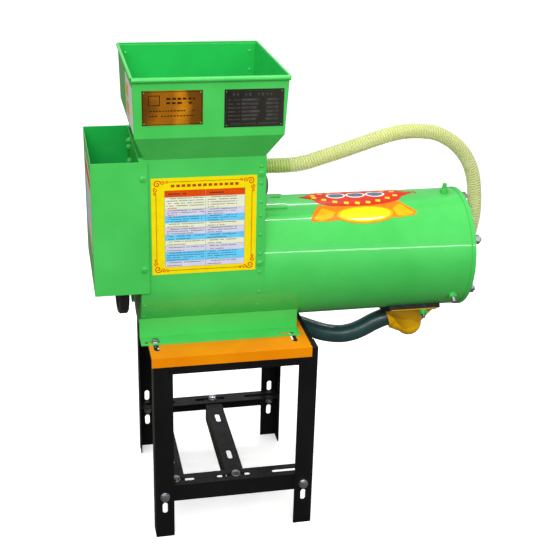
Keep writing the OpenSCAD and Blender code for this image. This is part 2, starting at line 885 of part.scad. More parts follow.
// Four long blades carried by three four-armed hubs
module separator_blades() {
    color("#8d9297") {
        for (x = [-60, 130, 320]) around_x(x, axis_z) difference() {
            union() {
                cylinder(r = 26, h = 24);
                for (a = [0:90:270]) rotate([0, 0, a]) translate([0, -4, 6]) cube([84, 8, 12]);
            }
            translate([0, 0, -1]) cylinder(r = shaft_r, h = 30);
        }
        for (a = [0:90:270]) around_x(-66, axis_z) rotate([0, 0, a])
            translate([84, -3, 0]) cube([blade_r - 84, 6, 410]);
    }
}

// Slanted paddles in the trough that push the pulp into the barrel
module feed_paddles() {
    color("#8d9297") for (i = [0:4]) around_x(-305 + 42 * i, axis_z) rotate([0, 0, 72 * i]) {
        difference() {
            cylinder(r = 22, h = 20);
            translate([0, 0, -1]) cylinder(r = shaft_r, h = 30);
        }
        for (s = [0, 180]) rotate([0, 0, s]) translate([20, 0, 10]) rotate([35, 0, 0])
            translate([0, -12, -2]) cube([paddle_r - 22, 24, 4]);
    }
}

// Flat-belt pulley with bevelled rim edges and a thinner web
module separator_pulley() {
    width = 21;
    color("#222428") around_x(pulley_x, axis_z) difference() {
        rotate_extrude() polygon([[shaft_r, -width / 2], [big_pulley_r - 4, -width / 2],
            [big_pulley_r, 3 - width / 2], [big_pulley_r, width / 2 - 3],
            [big_pulley_r - 4, width / 2], [shaft_r, width / 2]]);
        for (side = [-1, 1]) translate([0, 0, side * width / 2]) difference() {
            cylinder(r = big_pulley_r - 12, h = 12, center = true);
            cylinder(r = shaft_r + 14, h = 16, center = true);
        }
    }
}

// V-belt pulley with one groove
module crusher_pulley() {
    r = small_pulley_r;
    color("#222428") around_x(small_pulley_x, crusher_z)
        rotate_extrude() polygon([[small_shaft_r, -11], [r - 2, -11], [r, -9], [r, -8],
            [r - 11, -5.3], [r - 11, 5.3], [r, 8], [r, 9], [r - 2, 11], [small_shaft_r, 11]]);
}

// Shaft and toothed drum in one welded piece
module crusher_shaft() {
    color("#a9adb2") union() {
        around_x(small_pulley_x - 13, crusher_z)
            cylinder(r = small_shaft_r, h = casing_right + 20 - small_pulley_x + 13);
        around_x(casing_left + 24, crusher_z) {
            cylinder(r = drum_r - 3, h = casing_l - 50);
            for (a = [0:30:330]) rotate([0, 0, a]) translate([drum_r - 6, -1.5, 0])
                cube([6, 3, casing_l - 50]);
        }
    }
}

// ---- Hoses ----

module clear_hose() {
    color("#c9d24a") difference() {
        hose(clear_route, clear_r, [0, 1, 0]);
        translate([0, inlet_y, 0]) around_x(casing_right, inlet_z)
            cylinder(r = pipe_r + 0.1, h = inlet_end - casing_right + 0.1, $fn = 24);
        translate([barrel_end + cover_t, 0, elbow_z]) outlet_stub()
            cylinder(r = stub_r + 0.1, h = elbow_stub + 0.1, $fn = 24);
    }
}

module dark_hose() {
    color("#24424a") difference() {
        hose(dark_route, dark_r, [0, 0, 1]);
        translate([drain_x, 0, drain_z]) rotate([0, 90, drain_turn])
            cylinder(r = drain_r + 0.1, h = 83.1, $fn = 24);
    }
}

leg_front_left();
leg_front_right();
leg_back_left();
leg_back_right();
top_rail_front();
top_rail_back();
top_rail_left();
top_rail_right();
lower_bar_front();
lower_bar_back();
stand_bolts();
top_plate();
motor_rail_left();
motor_rail_left_bolts();
motor_rail_right();
motor_rail_right_bolts();
base_rail_front();
base_rail_back();
base_bolts();
crusher_casing();
left_end_plate();
right_end_plate();
casing_rivets();
casing_screws();
feed_chute();
crusher_sieve();
inlet_pipe();
drain_elbow();
barrel();
barrel_strap();
separator_sieve();
sieve_bolts();
end_cover();
end_cover_bolts();
outlet_elbow();
spout_gasket();
outlet_spout();
spout_studs();
spout_wing_nuts();
hopper_front();
hopper_back();
hopper_left();
hopper_right();
hopper_rivets();
gold_plate();
black_plate();
belt_guard();
guard_bolts();
bearing_separator_left();
bearing_separator_right();
bearing_crusher_left();
bearing_crusher_right();
separator_shaft();
separator_blades();
feed_paddles();
separator_pulley();
crusher_shaft();
crusher_pulley();
clear_hose();
dark_hose();
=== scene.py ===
"""Looks of the starch machine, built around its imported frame."""
import math

import bmesh
import bpy
from mathutils import Matrix, Vector


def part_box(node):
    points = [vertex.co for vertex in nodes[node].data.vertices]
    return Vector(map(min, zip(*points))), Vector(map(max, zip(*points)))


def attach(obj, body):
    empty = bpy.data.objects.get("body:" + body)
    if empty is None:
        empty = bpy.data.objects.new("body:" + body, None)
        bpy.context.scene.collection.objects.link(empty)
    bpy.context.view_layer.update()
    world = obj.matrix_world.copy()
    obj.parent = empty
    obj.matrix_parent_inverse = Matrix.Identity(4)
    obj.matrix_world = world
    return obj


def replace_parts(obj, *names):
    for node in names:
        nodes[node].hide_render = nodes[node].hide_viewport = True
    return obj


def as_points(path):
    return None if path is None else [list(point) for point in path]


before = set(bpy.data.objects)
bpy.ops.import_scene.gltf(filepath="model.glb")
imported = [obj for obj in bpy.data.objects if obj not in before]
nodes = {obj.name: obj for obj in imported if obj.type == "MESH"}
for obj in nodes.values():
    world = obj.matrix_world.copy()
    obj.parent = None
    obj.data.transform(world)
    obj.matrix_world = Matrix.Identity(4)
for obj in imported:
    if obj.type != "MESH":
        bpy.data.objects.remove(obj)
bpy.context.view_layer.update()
MM = 0.001
AXIS_Z = 0.572  # middle of the barrel
ROUND_R = 0.130  # outside of the barrel and of the round trough
SHOP_GREEN = (0.074, 0.60, 0.112)
DEEP_GREEN = (0.056, 0.53, 0.088)
# Paler green that sharp edges turn toward: painted highlight along the edges, partly chipped wear.
EDGE_HIGHLIGHT_AND_WEAR_GREEN = (0.20, 0.78, 0.25)


# -------- camera

CAMERA_PLACE = (-0.5067, -2.1470, 1.4643)
CAMERA_TURN = (12.55, -23.10, 1.63)  # yaw, pitch and roll in degrees
CAMERA_LENS = 71.09
CAMERA_SHIFT = (0.0015, -0.0017)


def make_camera():
    yaw, pitch, roll = (math.radians(turn) for turn in CAMERA_TURN)
    x, y, z = CAMERA_PLACE
    ahead = Vector((math.sin(yaw) * math.cos(pitch), math.cos(yaw) * math.cos(pitch), math.sin(pitch)))
    side = Vector((math.cos(yaw), -math.sin(yaw), 0))
    up = side.cross(ahead)
    right = side * math.cos(roll) + up * math.sin(roll)
    up = up * math.cos(roll) - side * math.sin(roll)
    data = bpy.data.cameras.new("camera")
    data.sensor_width = 36
    data.lens = CAMERA_LENS
    data.shift_x, data.shift_y = CAMERA_SHIFT
    data.clip_start, data.clip_end = 0.05, 60
    cam = bpy.data.objects.new("camera", data)
    cam.matrix_world = Matrix((
        (right.x, up.x, -ahead.x, x),
        (right.y, up.y, -ahead.y, y),
        (right.z, up.z, -ahead.z, z),
        (0, 0, 0, 1)))
    bpy.context.scene.collection.objects.link(cam)
    bpy.context.scene.camera = cam


make_camera()


# -------- materials

class Nodes:
    """A material's node tree with short calls for the nodes used here."""

    def __init__(self, name):
        self.mat = bpy.data.materials.new(name)
        self.mat.use_nodes = True
        self.tree = self.mat.node_tree
        self.tree.nodes.clear()
        self.out = self.add("ShaderNodeOutputMaterial")
        self.bsdf = self.add("ShaderNodeBsdfPrincipled")
        self.link(self.bsdf.outputs["BSDF"], self.out.inputs["Surface"])
        self.place = self.add("ShaderNodeTexCoord").outputs["Object"]

    def add(self, kind, **settings):
        node = self.tree.nodes.new(kind)
        for key, value in settings.items():
            setattr(node, key, value)
        return node

    def link(self, a, b):
        self.tree.links.new(a, b)

    def set(self, **values):
        for key, value in values.items():
            self.bsdf.inputs[key.replace("_", " ")].default_value = value

    def noise(self, scale, detail=3.0, stretch=None, roughness=0.55):
        node = self.add("ShaderNodeTexNoise")
        node.inputs["Scale"].default_value = scale
        node.inputs["Detail"].default_value = detail
        node.inputs["Roughness"].default_value = roughness
        place = self.place
        if stretch:
            mapping = self.add("ShaderNodeMapping")
            mapping.inputs["Scale"].default_value = stretch
            self.link(place, mapping.inputs["Vector"])
            place = mapping.outputs["Vector"]
        self.link(place, node.inputs["Vector"])
        return node.outputs["Fac"]

    def span(self, value, low, high, a, b):
        node = self.add("ShaderNodeMapRange")
        for key, number in zip(("From Min", "From Max", "To Min", "To Max"), (low, high, a, b)):
            node.inputs[key].default_value = number
        self.link(value, node.inputs["Value"])
        return node.outputs["Result"]

    def mix(self, factor, a, b):
        node = self.add("ShaderNodeMix", data_type="RGBA")
        for socket, value in ((node.inputs[0], factor), (node.inputs[6], a), (node.inputs[7], b)):
            if isinstance(value, (int, float)):
                socket.default_value = value
            elif isinstance(value, tuple):
                socket.default_value = (*value[:3], 1)
            else:
                self.link(value, socket)
        return node.outputs[2]

    def math(self, kind, a, b):
        node = self.add("ShaderNodeMath", operation=kind)
        for socket, value in zip(node.inputs, (a, b)):
            if isinstance(value, (int, float)):
                socket.default_value = value
            else:
                self.link(value, socket)
        return node.outputs[0]

    def edges(self, radius):
        """Rounded normal, and a mask that is 1 on sharp edges."""
        bevel = self.add("ShaderNodeBevel", samples=4)
        bevel.inputs["Radius"].default_value = radius
        flat = self.add("ShaderNodeNewGeometry").outputs["Normal"]
        dot = self.add("ShaderNodeVectorMath", operation="DOT_PRODUCT")
        self.link(bevel.outputs["Normal"], dot.inputs[0])
        self.link(flat, dot.inputs[1])
        return bevel.outputs["Normal"], self.span(dot.outputs["Value"], 0.97, 0.80, 0, 1)

    def bump(self, height, strength, distance, normal=None):
        node = self.add("ShaderNodeBump")
        node.inputs["Strength"].default_value = strength
        node.inputs["Distance"].default_value = distance
        self.link(height, node.inputs["Height"])
        if normal is not None:
            self.link(normal, node.inputs["Normal"])
        return node.outputs["Normal"]

    def normal(self, value):
        self.link(value, self.bsdf.inputs["Normal"])

    def colour(self, value):
        self.link(value, self.bsdf.inputs["Base Color"])

    def rough(self, value):
        self.link(value, self.bsdf.inputs["Roughness"])


def up_mask(n, low, high):
    """1 where the surface faces up, 0 where it stands or faces down."""
    axes = n.add("ShaderNodeSeparateXYZ")
    n.link(n.add("ShaderNodeNewGeometry").outputs["Normal"], axes.inputs[0])
    return n.span(axes.outputs["Z"], low, high, 0, 1)


def facing_in(n, x, y):
    """1 where the surface faces the upright line through (x, y), as the inside of a box does."""
    away = n.add("ShaderNodeVectorMath", operation="SUBTRACT")
    away.inputs[1].default_value = (x, y, 0)
    n.link(n.place, away.inputs[0])
    flat = n.add("ShaderNodeVectorMath", operation="MULTIPLY")
    flat.inputs[1].default_value = (1, 1, 0)
    n.link(away.outputs[0], flat.inputs[0])
    dot = n.add("ShaderNodeVectorMath", operation="DOT_PRODUCT")
    n.link(flat.outputs[0], dot.inputs[0])
    n.link(n.add("ShaderNodeNewGeometry").outputs["True Normal"], dot.inputs[1])
    return n.span(dot.outputs["Value"], -0.02, -0.04, 0, 1)


def paint(name, main, deep, edge, rough=(0.28, 0.42), coat=0.35, coat_rough=0.06,
          dust=0.0, peel=0.08, sheen=0.12, inside=None, inner=(0, 0, 0)):
    """Gloss paint on sheet metal: slight colour drift, orange peel, dust, and paler edges in broken patches,
    which are painted highlight along the edges and partly chipped wear.

    With inside, the faces that look at that upright line get the colour inner, painted shade for the inside
    of an open box.
    """
    n = Nodes(name)
    drift = n.span(n.noise(7, 4), 0.35, 0.65, 0, 1)
    colour = n.mix(drift, deep, main)
    smudge = n.span(n.noise(34, 5, roughness=0.7), 0.56, 0.74, 0, 0.22)
    colour = n.mix(smudge, colour, deep)
    # Painted shade: the faces inside an open box take the darker colour inner.
    if inside:
        colour = n.mix(facing_in(n, *inside), colour, n.mix(drift, tuple(0.85 * c for c in inner), inner))
    # Painted highlight along the edges, partly chipped wear: sharp edges turn toward the paler edge colour in
    # broken patches.
    rounded, edge_highlight_and_wear_mask = n.edges(0.0012)
    chips = n.span(n.noise(420, 2), 0.42, 0.6, 0.25, 1)
    colour = n.mix(n.math("MULTIPLY", n.math("MULTIPLY", edge_highlight_and_wear_mask, chips), 0.35), colour, edge)
    if dust:
        settled = n.math("MULTIPLY", up_mask(n, 0.75, 0.98), n.span(n.noise(55, 6), 0.35, 0.75, 0.1, 1))
        colour = n.mix(n.math("MULTIPLY", settled, dust), colour, (0.42, 0.40, 0.36))
    n.colour(colour)
    n.rough(n.span(n.noise(26, 4), 0.3, 0.7, *rough))
    n.normal(n.bump(n.noise(900, 2), peel, 0.0002, rounded))
    n.set(Specular_IOR_Level=sheen, Coat_Weight=coat, Coat_Roughness=coat_rough)
    return n.mat


def metal(name, main, deep, rough=(0.22, 0.38), grain=(1, 1, 1), rust=0.0):
    """Bare or plated metal with fine scratches along its grain and a little tarnish."""
    n = Nodes(name)
    scratches = n.noise(700, 3, stretch=grain)
    colour = n.mix(n.span(n.noise(60, 4), 0.3, 0.7, 0, 1), deep, main)
    colour = n.mix(n.span(scratches, 0.35, 0.65, 0, 0.25), colour, deep)
    if rust:
        spots = n.span(n.noise(150, 5), 0.6, 0.72, 0, rust)
        colour = n.mix(spots, colour, (0.16, 0.07, 0.03))
    n.colour(colour)
    rounded, _ = n.edges(0.0004)
    n.rough(n.span(scratches, 0.3, 0.7, *rough))
    n.normal(n.bump(scratches, 0.15, 0.0001, rounded))
    n.set(Metallic=1.0)
    return n.mat


def rubber(name, main, deep, rough=(0.5, 0.7), grain=500):
    """Moulded rubber or cast paint: matt, finely pitted, slightly dusty."""
    n = Nodes(name)
    colour = n.mix(n.span(n.noise(40, 5), 0.3, 0.7, 0, 1), deep, main)
    dusty = n.math("MULTIPLY", up_mask(n, 0.3, 0.95), n.span(n.noise(90, 5), 0.4, 0.75, 0, 0.18))
    n.colour(n.mix(dusty, colour, (0.30, 0.29, 0.27)))
    n.rough(n.span(n.noise(60, 4), 0.3, 0.7, *rough))
    rounded, _ = n.edges(0.0006)
    n.normal(n.bump(n.noise(grain, 3), 0.25, 0.0003, rounded))
    n.set(Specular_IOR_Level=0.25)
    return n.mat


def printed(name, main, deep, scale=60):
    """Printed film: even ink with faint mottling under a thin gloss."""
    n = Nodes(name)
    n.colour(n.mix(n.span(n.noise(scale, 4), 0.35, 0.65, 0, 1), deep, main))
    n.rough(n.span(n.noise(45, 3), 0.3, 0.7, 0.28, 0.42))
    n.normal(n.bump(n.noise(300, 2), 0.05, 0.0001))
    n.set(Specular_IOR_Level=0.08, Coat_Weight=0.08, Coat_Roughness=0.12)
    return n.mat


GREEN = paint("green_paint", SHOP_GREEN, DEEP_GREEN, EDGE_HIGHLIGHT_AND_WEAR_GREEN, dust=0.03)
# A darker copy of the green paint, as painted shade for the end plates and the feed chute, which sit recessed
# or inside the casing.
GREEN_SHADED = paint("green_paint_shaded", (0.040, 0.46, 0.070), (0.028, 0.34, 0.042),
                     (0.20, 0.74, 0.24), coat=0.0, sheen=0.06, dust=0.05)
# Open boxes get painted shade: the faces that look at their own upright middle line, their insides, are a
# deeper green.
GREEN_BOXES_SHADED_INSIDE = {
    name: paint("green_paint_" + name, SHOP_GREEN, DEEP_GREEN, EDGE_HIGHLIGHT_AND_WEAR_GREEN, dust=0.03,
                inside=middle, inner=(0.018, 0.51, 0.085))
    for name, middle in (("hopper", (-0.195, 0.0)), ("guard", (-0.370, 0.0)))}
BLACK = paint("black_paint", (0.008, 0.008, 0.009), (0.005, 0.005, 0.006), (0.10, 0.10, 0.10),
              rough=(0.32, 0.48), coat=0.05, coat_rough=0.2, dust=0.03, peel=0.15)
ORANGE = paint("orange_paint", (0.90, 0.295, 0.001), (0.82, 0.24, 0.001), (0.98, 0.52, 0.10),
               coat=0.12, sheen=0.05, dust=0.02)
YELLOW = paint("yellow_paint", (0.88, 0.49, 0.001), (0.74, 0.38, 0.001), (0.95, 0.66, 0.08),
               coat=0.2, peel=0.2)
ZINC = metal("zinc", (0.62, 0.65, 0.70), (0.36, 0.38, 0.42), rough=(0.22, 0.40))
STEEL = metal("bare_steel", (0.52, 0.52, 0.53), (0.30, 0.30, 0.31), grain=(1, 8, 8), rust=0.5)
IRON = rubber("black_iron", (0.022, 0.023, 0.025), (0.012, 0.012, 0.014), rough=(0.35, 0.55), grain=350)
CAST = rubber("grey_iron", (0.16, 0.17, 0.18), (0.10, 0.105, 0.11), rough=(0.4, 0.6), grain=260)
GASKET = rubber("gasket_rubber", (0.010, 0.011, 0.013), (0.006, 0.006, 0.007))


def sieve_metal():
    """Sheet steel punched all over with small round holes; the holes are painted near-black, painted shade of
    the dark space behind them.
    """
    n = Nodes("perforated_steel")
    cells = n.add("ShaderNodeTexVoronoi", feature="F1")
    cells.inputs["Scale"].default_value = 260
    cells.inputs["Randomness"].default_value = 0.0
    n.link(n.place, cells.inputs["Vector"])
    hole = n.span(cells.outputs["Distance"], 0.34, 0.40, 1, 0)
    # Painted shade: the holes are drawn near-black, for the dark space seen through them.
    n.colour(n.mix(hole, n.mix(n.noise(50, 4), (0.36, 0.36, 0.37), (0.52, 0.53, 0.54)), (0.01, 0.01, 0.01)))
    n.rough(n.span(n.noise(90, 3), 0.3, 0.7, 0.28, 0.45))
    n.normal(n.bump(hole, -0.6, 0.0008))
    n.set(Metallic=1.0)
    return n.mat


SIEVE = sieve_metal()


def plate_metal(name, stops, rough):
    """The CAD plate of that name: thin metal, brushed along its length; stops are colours across it."""
    n = Nodes(name)
    low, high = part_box(name)
    axes = n.add("ShaderNodeSeparateXYZ")
    n.link(n.place, axes.inputs[0])
    brushed = n.noise(90, 3, stretch=(0.4, 1, 14))
    across = n.span(axes.outputs["X"], low[0], high[0], 0, 1)
    across = n.math("ADD", across, n.span(n.noise(30, 3), 0.3, 0.7, -0.06, 0.06))
    ramp = n.add("ShaderNodeValToRGB")
    ramp.color_ramp.elements.remove(ramp.color_ramp.elements[1])
    for k, (at, colour) in enumerate(stops):
        stop = ramp.color_ramp.elements[0] if k == 0 else ramp.color_ramp.elements.new(at)
        stop.position = at
        stop.color = (*colour, 1)
    n.link(across, ramp.inputs[0])
    n.colour(n.mix(n.span(brushed, 0.45, 0.75, 0, 0.5), ramp.outputs[0], stops[0][1]))
    n.rough(n.span(brushed, 0.3, 0.7, *rough))
    n.normal(n.bump(brushed, 0.12, 0.0002))
    n.set(Specular_IOR_Level=0.2, Coat_Weight=0.3, Coat_Roughness=0.1)
    return n.mat


GOLD_PLATE = plate_metal("gold_plate", [
    (0.0, (0.10, 0.035, 0.001)), (0.10, (0.13, 0.045, 0.001)), (0.26, (0.36, 0.125, 0.002)),
    (0.50, (0.33, 0.115, 0.002)), (0.62, (0.60, 0.23, 0.003)), (0.70, (0.50, 0.19, 0.003)),
    (0.80, (0.17, 0.06, 0.001)), (1.0, (0.12, 0.04, 0.001))], (0.2, 0.32))
BLACK_PLATE = plate_metal("black_plate", [
    (0.0, (0.014, 0.013, 0.010)), (0.5, (0.022, 0.020, 0.016)), (1.0, (0.030, 0.027, 0.022))], (0.24, 0.36))


def hose_skin(name, main, deep, alpha, rough, coat):
    """Flexible hose: tinted plastic, cloudier in places, alpha lets the pipe inside show."""
    n = Nodes(name)
    n.colour(n.mix(n.span(n.noise(16, 4), 0.35, 0.65, 0, 1), deep, main))
    n.rough(n.span(n.noise(70, 3), 0.3, 0.7, *rough))
    n.normal(n.bump(n.noise(220, 3), 0.10, 0.0003))
    n.set(Alpha=alpha, Coat_Weight=coat, Coat_Roughness=0.1, IOR=1.5)
    return n.mat


CLEAR_PVC = hose_skin("clear_pvc", (0.66, 0.72, 0.10), (0.56, 0.62, 0.08), 0.37, (0.40, 0.55), 0.05)
DARK_PVC = hose_skin("dark_pvc", (0.020, 0.072, 0.074), (0.012, 0.045, 0.048), 1.0, (0.30, 0.42), 0.25)
WIRE = rubber("hose_wire", (0.93, 0.94, 0.85), (0.88, 0.90, 0.74), rough=(0.85, 0.95))


# -------- mesh helpers

def piece(name, verts, faces, material, slot, body="frame", smooth=True):
    mesh = bpy.data.meshes.new(name)
    mesh.from_pydata([tuple(v) for v in verts], [], faces)
    mesh.materials.append(material)
    bm = bmesh.new()
    bm.from_mesh(mesh)
    bmesh.ops.recalc_face_normals(bm, faces=bm.faces)
    bm.to_mesh(mesh)
    bm.free()
    obj = bpy.data.objects.new(name, mesh)
    bpy.context.scene.collection.objects.link(obj)
    if smooth:
        mesh.shade_smooth()
        mesh.set_sharp_from_angle(angle=math.radians(35))
    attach(obj, body)
    return obj


def smooth_path(points, step):
    """Catmull-Rom curve through the points, cut into even steps; points are in metres."""
    pts = [Vector(p) for p in points]
    pts = [2 * pts[0] - pts[1]] + pts + [2 * pts[-1] - pts[-2]]
    dense = []
    for a, b, c, d in zip(pts, pts[1:], pts[2:], pts[3:]):
        for i in range(40):
            t = i / 40
            dense.append(0.5 * ((2 * b) + (c - a) * t + (2 * a - 5 * b + 4 * c - d) * t * t
                                + (3 * b - a - 3 * c + d) * t ** 3))
    dense.append(pts[-2])
    marks = [0.0]
    for p, q in zip(dense, dense[1:]):
        marks.append(marks[-1] + (q - p).length)
    count = max(2, round(marks[-1] / step))
    out, k = [], 0
    for i in range(count + 1):
        s = marks[-1] * i / count
        while k < len(marks) - 2 and marks[k + 1] < s:
            k += 1
        f = (s - marks[k]) / max(1e-9, marks[k + 1] - marks[k])
        out.append(dense[k].lerp(dense[k + 1], min(1, max(0, f))))
    return out, marks[-1]


def frames_along(path, up):
    """A right and an up vector at each point, turned as little as possible from one to the next."""
    out = []
    for i, p in enumerate(path):
        t = (path[min(i + 1, len(path) - 1)] - path[max(i - 1, 0)]).normalized()
        if not out:
            a = t.cross(Vector(up)).normalized()
        else:
            a = out[-1][0] - t * out[-1][0].dot(t)
            a.normalize()
        out.append((a, t.cross(a).normalized()))
    return out


def shell(rings):
    """Skin over rings of equally many points, from each ring to the next and back to the first."""
    sides = len(rings[0])
    faces = []
    for r in range(len(rings)):
        n = (r + 1) % len(rings)
        for i in range(sides):
            j = (i + 1) % sides
            faces.append((r * sides + i, r * sides + j, n * sides + j, n * sides + i))
    return [v for ring in rings for v in ring], faces


def tube_mesh(path, radii, bore, up, sides):
    """Double-walled tube: radii gives the outer radius at each point, bore the inner one."""
    turns = frames_along(path, up)

    def ring(i, r):
        a, b = turns[i]
        angles = [2 * math.pi * k / sides for k in range(sides)]
        return [path[i] + a * (r * math.cos(w)) + b * (r * math.sin(w)) for w in angles]
    steps = range(len(path))
    return shell([ring(i, radii[i]) for i in steps] + [ring(i, bore) for i in reversed(steps)])


# -------- the two hoses

CLEAR_ROUTE = [(-72, -45, 790), (-14, -45, 790), (20, -45, 794), (58, -43, 804), (95, -41, 814),
               (130, -38, 824), (166, -34, 834), (204, -29, 843), (236, -24, 847), (267, -18, 846),
               (297, -13, 842), (325, -9, 834), (363, -4, 811), (393, -1, 779), (412, 0, 741),
               (422, 0, 692), (425, 0, 648), (420, 0, 605), (412.3, 0, 571), (407.5, 0, 544)]
DARK_ROUTE = [(249.3, 0, 408.3), (236, 0, 404), (221, 0, 399), (203, 2, 390), (182, 5, 377),
              (160, 10, 366), (135, 18, 359), (105, 33, 357), (78, 50, 360), (52, 66, 365),
              (24, 78, 371), (-15, 85, 379), (-55, 80, 387), (-92, 67, 393), (-122.1, 47.6, 397),
              (-157.3, 22.9, 397)]


def metres(points):
    return [tuple(c * MM for c in p) for p in points]


def make_hose(name, route, node, material, slot, radius, bore, pitch, rib, sides, up):
    """Double-walled hose along a route in mm, with a shallow rib at each pitch."""
    rings = 4  # rings of the mesh in one pitch
    path, length = smooth_path(metres(route), pitch / rings)
    radii = [radius - rib * (0.5 - 0.5 * math.cos(2 * math.pi * i / rings)) for i in range(len(path))]
    hose = piece(name, *tube_mesh(path, radii, bore, up, sides), material, slot)
    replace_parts(hose, node)
    return hose, path, length


def spiral(name, path, material, radius, pitch, thick, up):
    """Reinforcing wire wound inside the hose wall, as one closed tube."""
    bare = 0.004  # length without wire at each end
    steps = 10  # points in one turn
    turns = frames_along(path, up)
    step = (path[1] - path[0]).length
    total = (len(path) - 1) * step
    count = int(total / pitch * steps)
    line = []
    for j in range(count):
        s = bare + (total - 2 * bare) * j / (count - 1)
        i = min(len(path) - 2, int(s / step))
        f = s / step - i
        p = path[i].lerp(path[i + 1], f)
        a, b = turns[i]
        w = 2 * math.pi * j / steps
        line.append(p + a * (radius * math.cos(w)) + b * (radius * math.sin(w)))
    data = bpy.data.curves.new(name, "CURVE")
    data.dimensions = "3D"
    data.bevel_depth = thick
    data.bevel_resolution = 1
    data.use_fill_caps = True
    data.materials.append(material)
    spline = data.splines.new("POLY")
    spline.points.add(len(line) - 1)
    for q, p in zip(spline.points, line):
        q.co = (*p, 1)
    obj = bpy.data.objects.new(name, data)
    bpy.context.scene.collection.objects.link(obj)
    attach(obj, "frame")
    return obj


clear_hose, clear_path, clear_length = make_hose(
    "clear_hose_skin", CLEAR_ROUTE, "clear_hose", CLEAR_PVC, "clear_pvc",
    radius=0.0160, bore=0.0136, pitch=0.0060, rib=0.0001, sides=28, up=(0, 1, 0))
clear_wire = spiral("clear_hose_wire", clear_path, WIRE,
                    radius=0.0150, pitch=0.0060, thick=0.0009, up=(0, 1, 0))
dark_hose, dark_path, dark_length = make_hose(
    "dark_hose_skin", DARK_ROUTE, "dark_hose", DARK_PVC, "dark_pvc",
    radius=0.0205, bore=0.0168, pitch=0.0050, rib=0.00025, sides=36, up=(0, 0, 1))
tuple(clear_path[0])
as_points(clear_path[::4])
tuple(dark_path[0])
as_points(dark_path[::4])


# -------- floor and light

def make_floor(name, height, main, deep, seen):
    """The pale floor, or the warmer ground under it that lights the machine from below."""
    n = Nodes(name)
    n.colour(n.mix(n.span(n.noise(2, 3), 0.3, 0.7, 0, 1), deep, main))
    n.rough(n.span(n.noise(5, 3), 0.3, 0.7, 0.75, 0.85))
    n.set(Emission_Color=(1, 1, 1, 1), Emission_Strength=0.42 if seen else 0.0)
    mesh = bpy.data.meshes.new(name)
    mesh.from_pydata([(-14, -14, height), (14, -14, height), (14, 14, height), (-14, 14, height)],
                     [], [(0, 1, 2, 3)])
    mesh.materials.append(n.mat)
    floor = bpy.data.objects.new(name, mesh)
    floor.visible_camera = seen
    floor.visible_diffuse = floor.visible_glossy = not seen
    bpy.context.scene.collection.objects.link(floor)


def area_light(name, place, target, size_x, size_y, power):
    data = bpy.data.lights.new(name, "AREA")
    data.shape = "RECTANGLE"
    data.size, data.size_y = size_x, size_y
    data.energy = power
    obj = bpy.data.objects.new(name, data)
    obj.location = place
    obj.rotation_mode = "QUATERNION"
    obj.rotation_quaternion = (Vector(target) - Vector(place)).to_track_quat("-Z", "Y")
    obj.visible_camera = False
    bpy.context.scene.collection.objects.link(obj)


def tube_light(name, start, end, width, power):
    """A long thin light between two points, facing the middle of the machine."""
    start, end = Vector(start), Vector(end)
    middle = (start + end) / 2
    along = (end - start).normalized()
    back = middle - Vector((0.2, 0.0, AXIS_Z))
    back = (back - along * back.dot(along)).normalized()
    area_light(name, middle, (0, 0, 0), (end - start).length, width, power)
    side = back.cross(along)
    bpy.data.objects[name].rotation_quaternion = Matrix((along, side, back)).transposed().to_quaternion()


def make_sky():
    """A sky that is brightest overhead, and plain white where the camera sees it."""
    world = bpy.data.worlds.new("studio")
    world.use_nodes = True
    tree = world.node_tree
    back = tree.nodes["Background"]
    place = tree.nodes.new("ShaderNodeTexCoord")
    axes = tree.nodes.new("ShaderNodeSeparateXYZ")
    ramp = tree.nodes.new("ShaderNodeMapRange")
    for key, number in zip(("From Min", "From Max", "To Min", "To Max"), (-0.1, 0.9, 0.38, 0.88)):
        ramp.inputs[key].default_value = number
    seen = tree.nodes.new("ShaderNodeLightPath")
    pick = tree.nodes.new("ShaderNodeMix")
    pick.inputs[3].default_value = 1.0
    tree.links.new(place.outputs["Generated"], axes.inputs[0])
    tree.links.new(axes.outputs["Z"], ramp.inputs["Value"])
    tree.links.new(seen.outputs["Is Camera Ray"], pick.inputs[0])
    tree.links.new(ramp.outputs["Result"], pick.inputs[2])
    tree.links.new(pick.outputs[0], back.inputs["Strength"])
    back.inputs["Color"].default_value = (1, 1, 1, 1)
    bpy.context.scene.world = world
    bpy.context.scene.view_settings.view_transform = "Standard"


def make_lights():
    """One soft key, one light overhead, and three long tubes that draw the lines along the barrel."""
    target = (0.0, 0.0, 0.6)
    area_light("key", (-0.7, -2.6, 2.4), target, 1.8, 1.4, 50)
    area_light("overhead", (-0.9, -0.3, 2.8), target, 1.6, 1.6, 18)
    tube_light("tube_front", (0.10, -2.6, 2.02), (1.70, -2.6, 1.44), 0.07, 16)
    tube_light("tube_top", (0.0, 0.0, 2.5), (0.68, 0.0, 2.5), 0.06, 6)
    tube_light("tube_back", (0.10, 1.51, 2.44), (0.75, 1.51, 2.44), 0.06, 8)


make_floor("floor", 0.0, (0.97, 0.97, 0.97), (0.95, 0.95, 0.95), True)
make_floor("floor_bounce", -0.002, (0.26, 0.23, 0.18), (0.22, 0.19, 0.15), False)
make_sky()
make_lights()


# -------- finishes of the CAD nodes

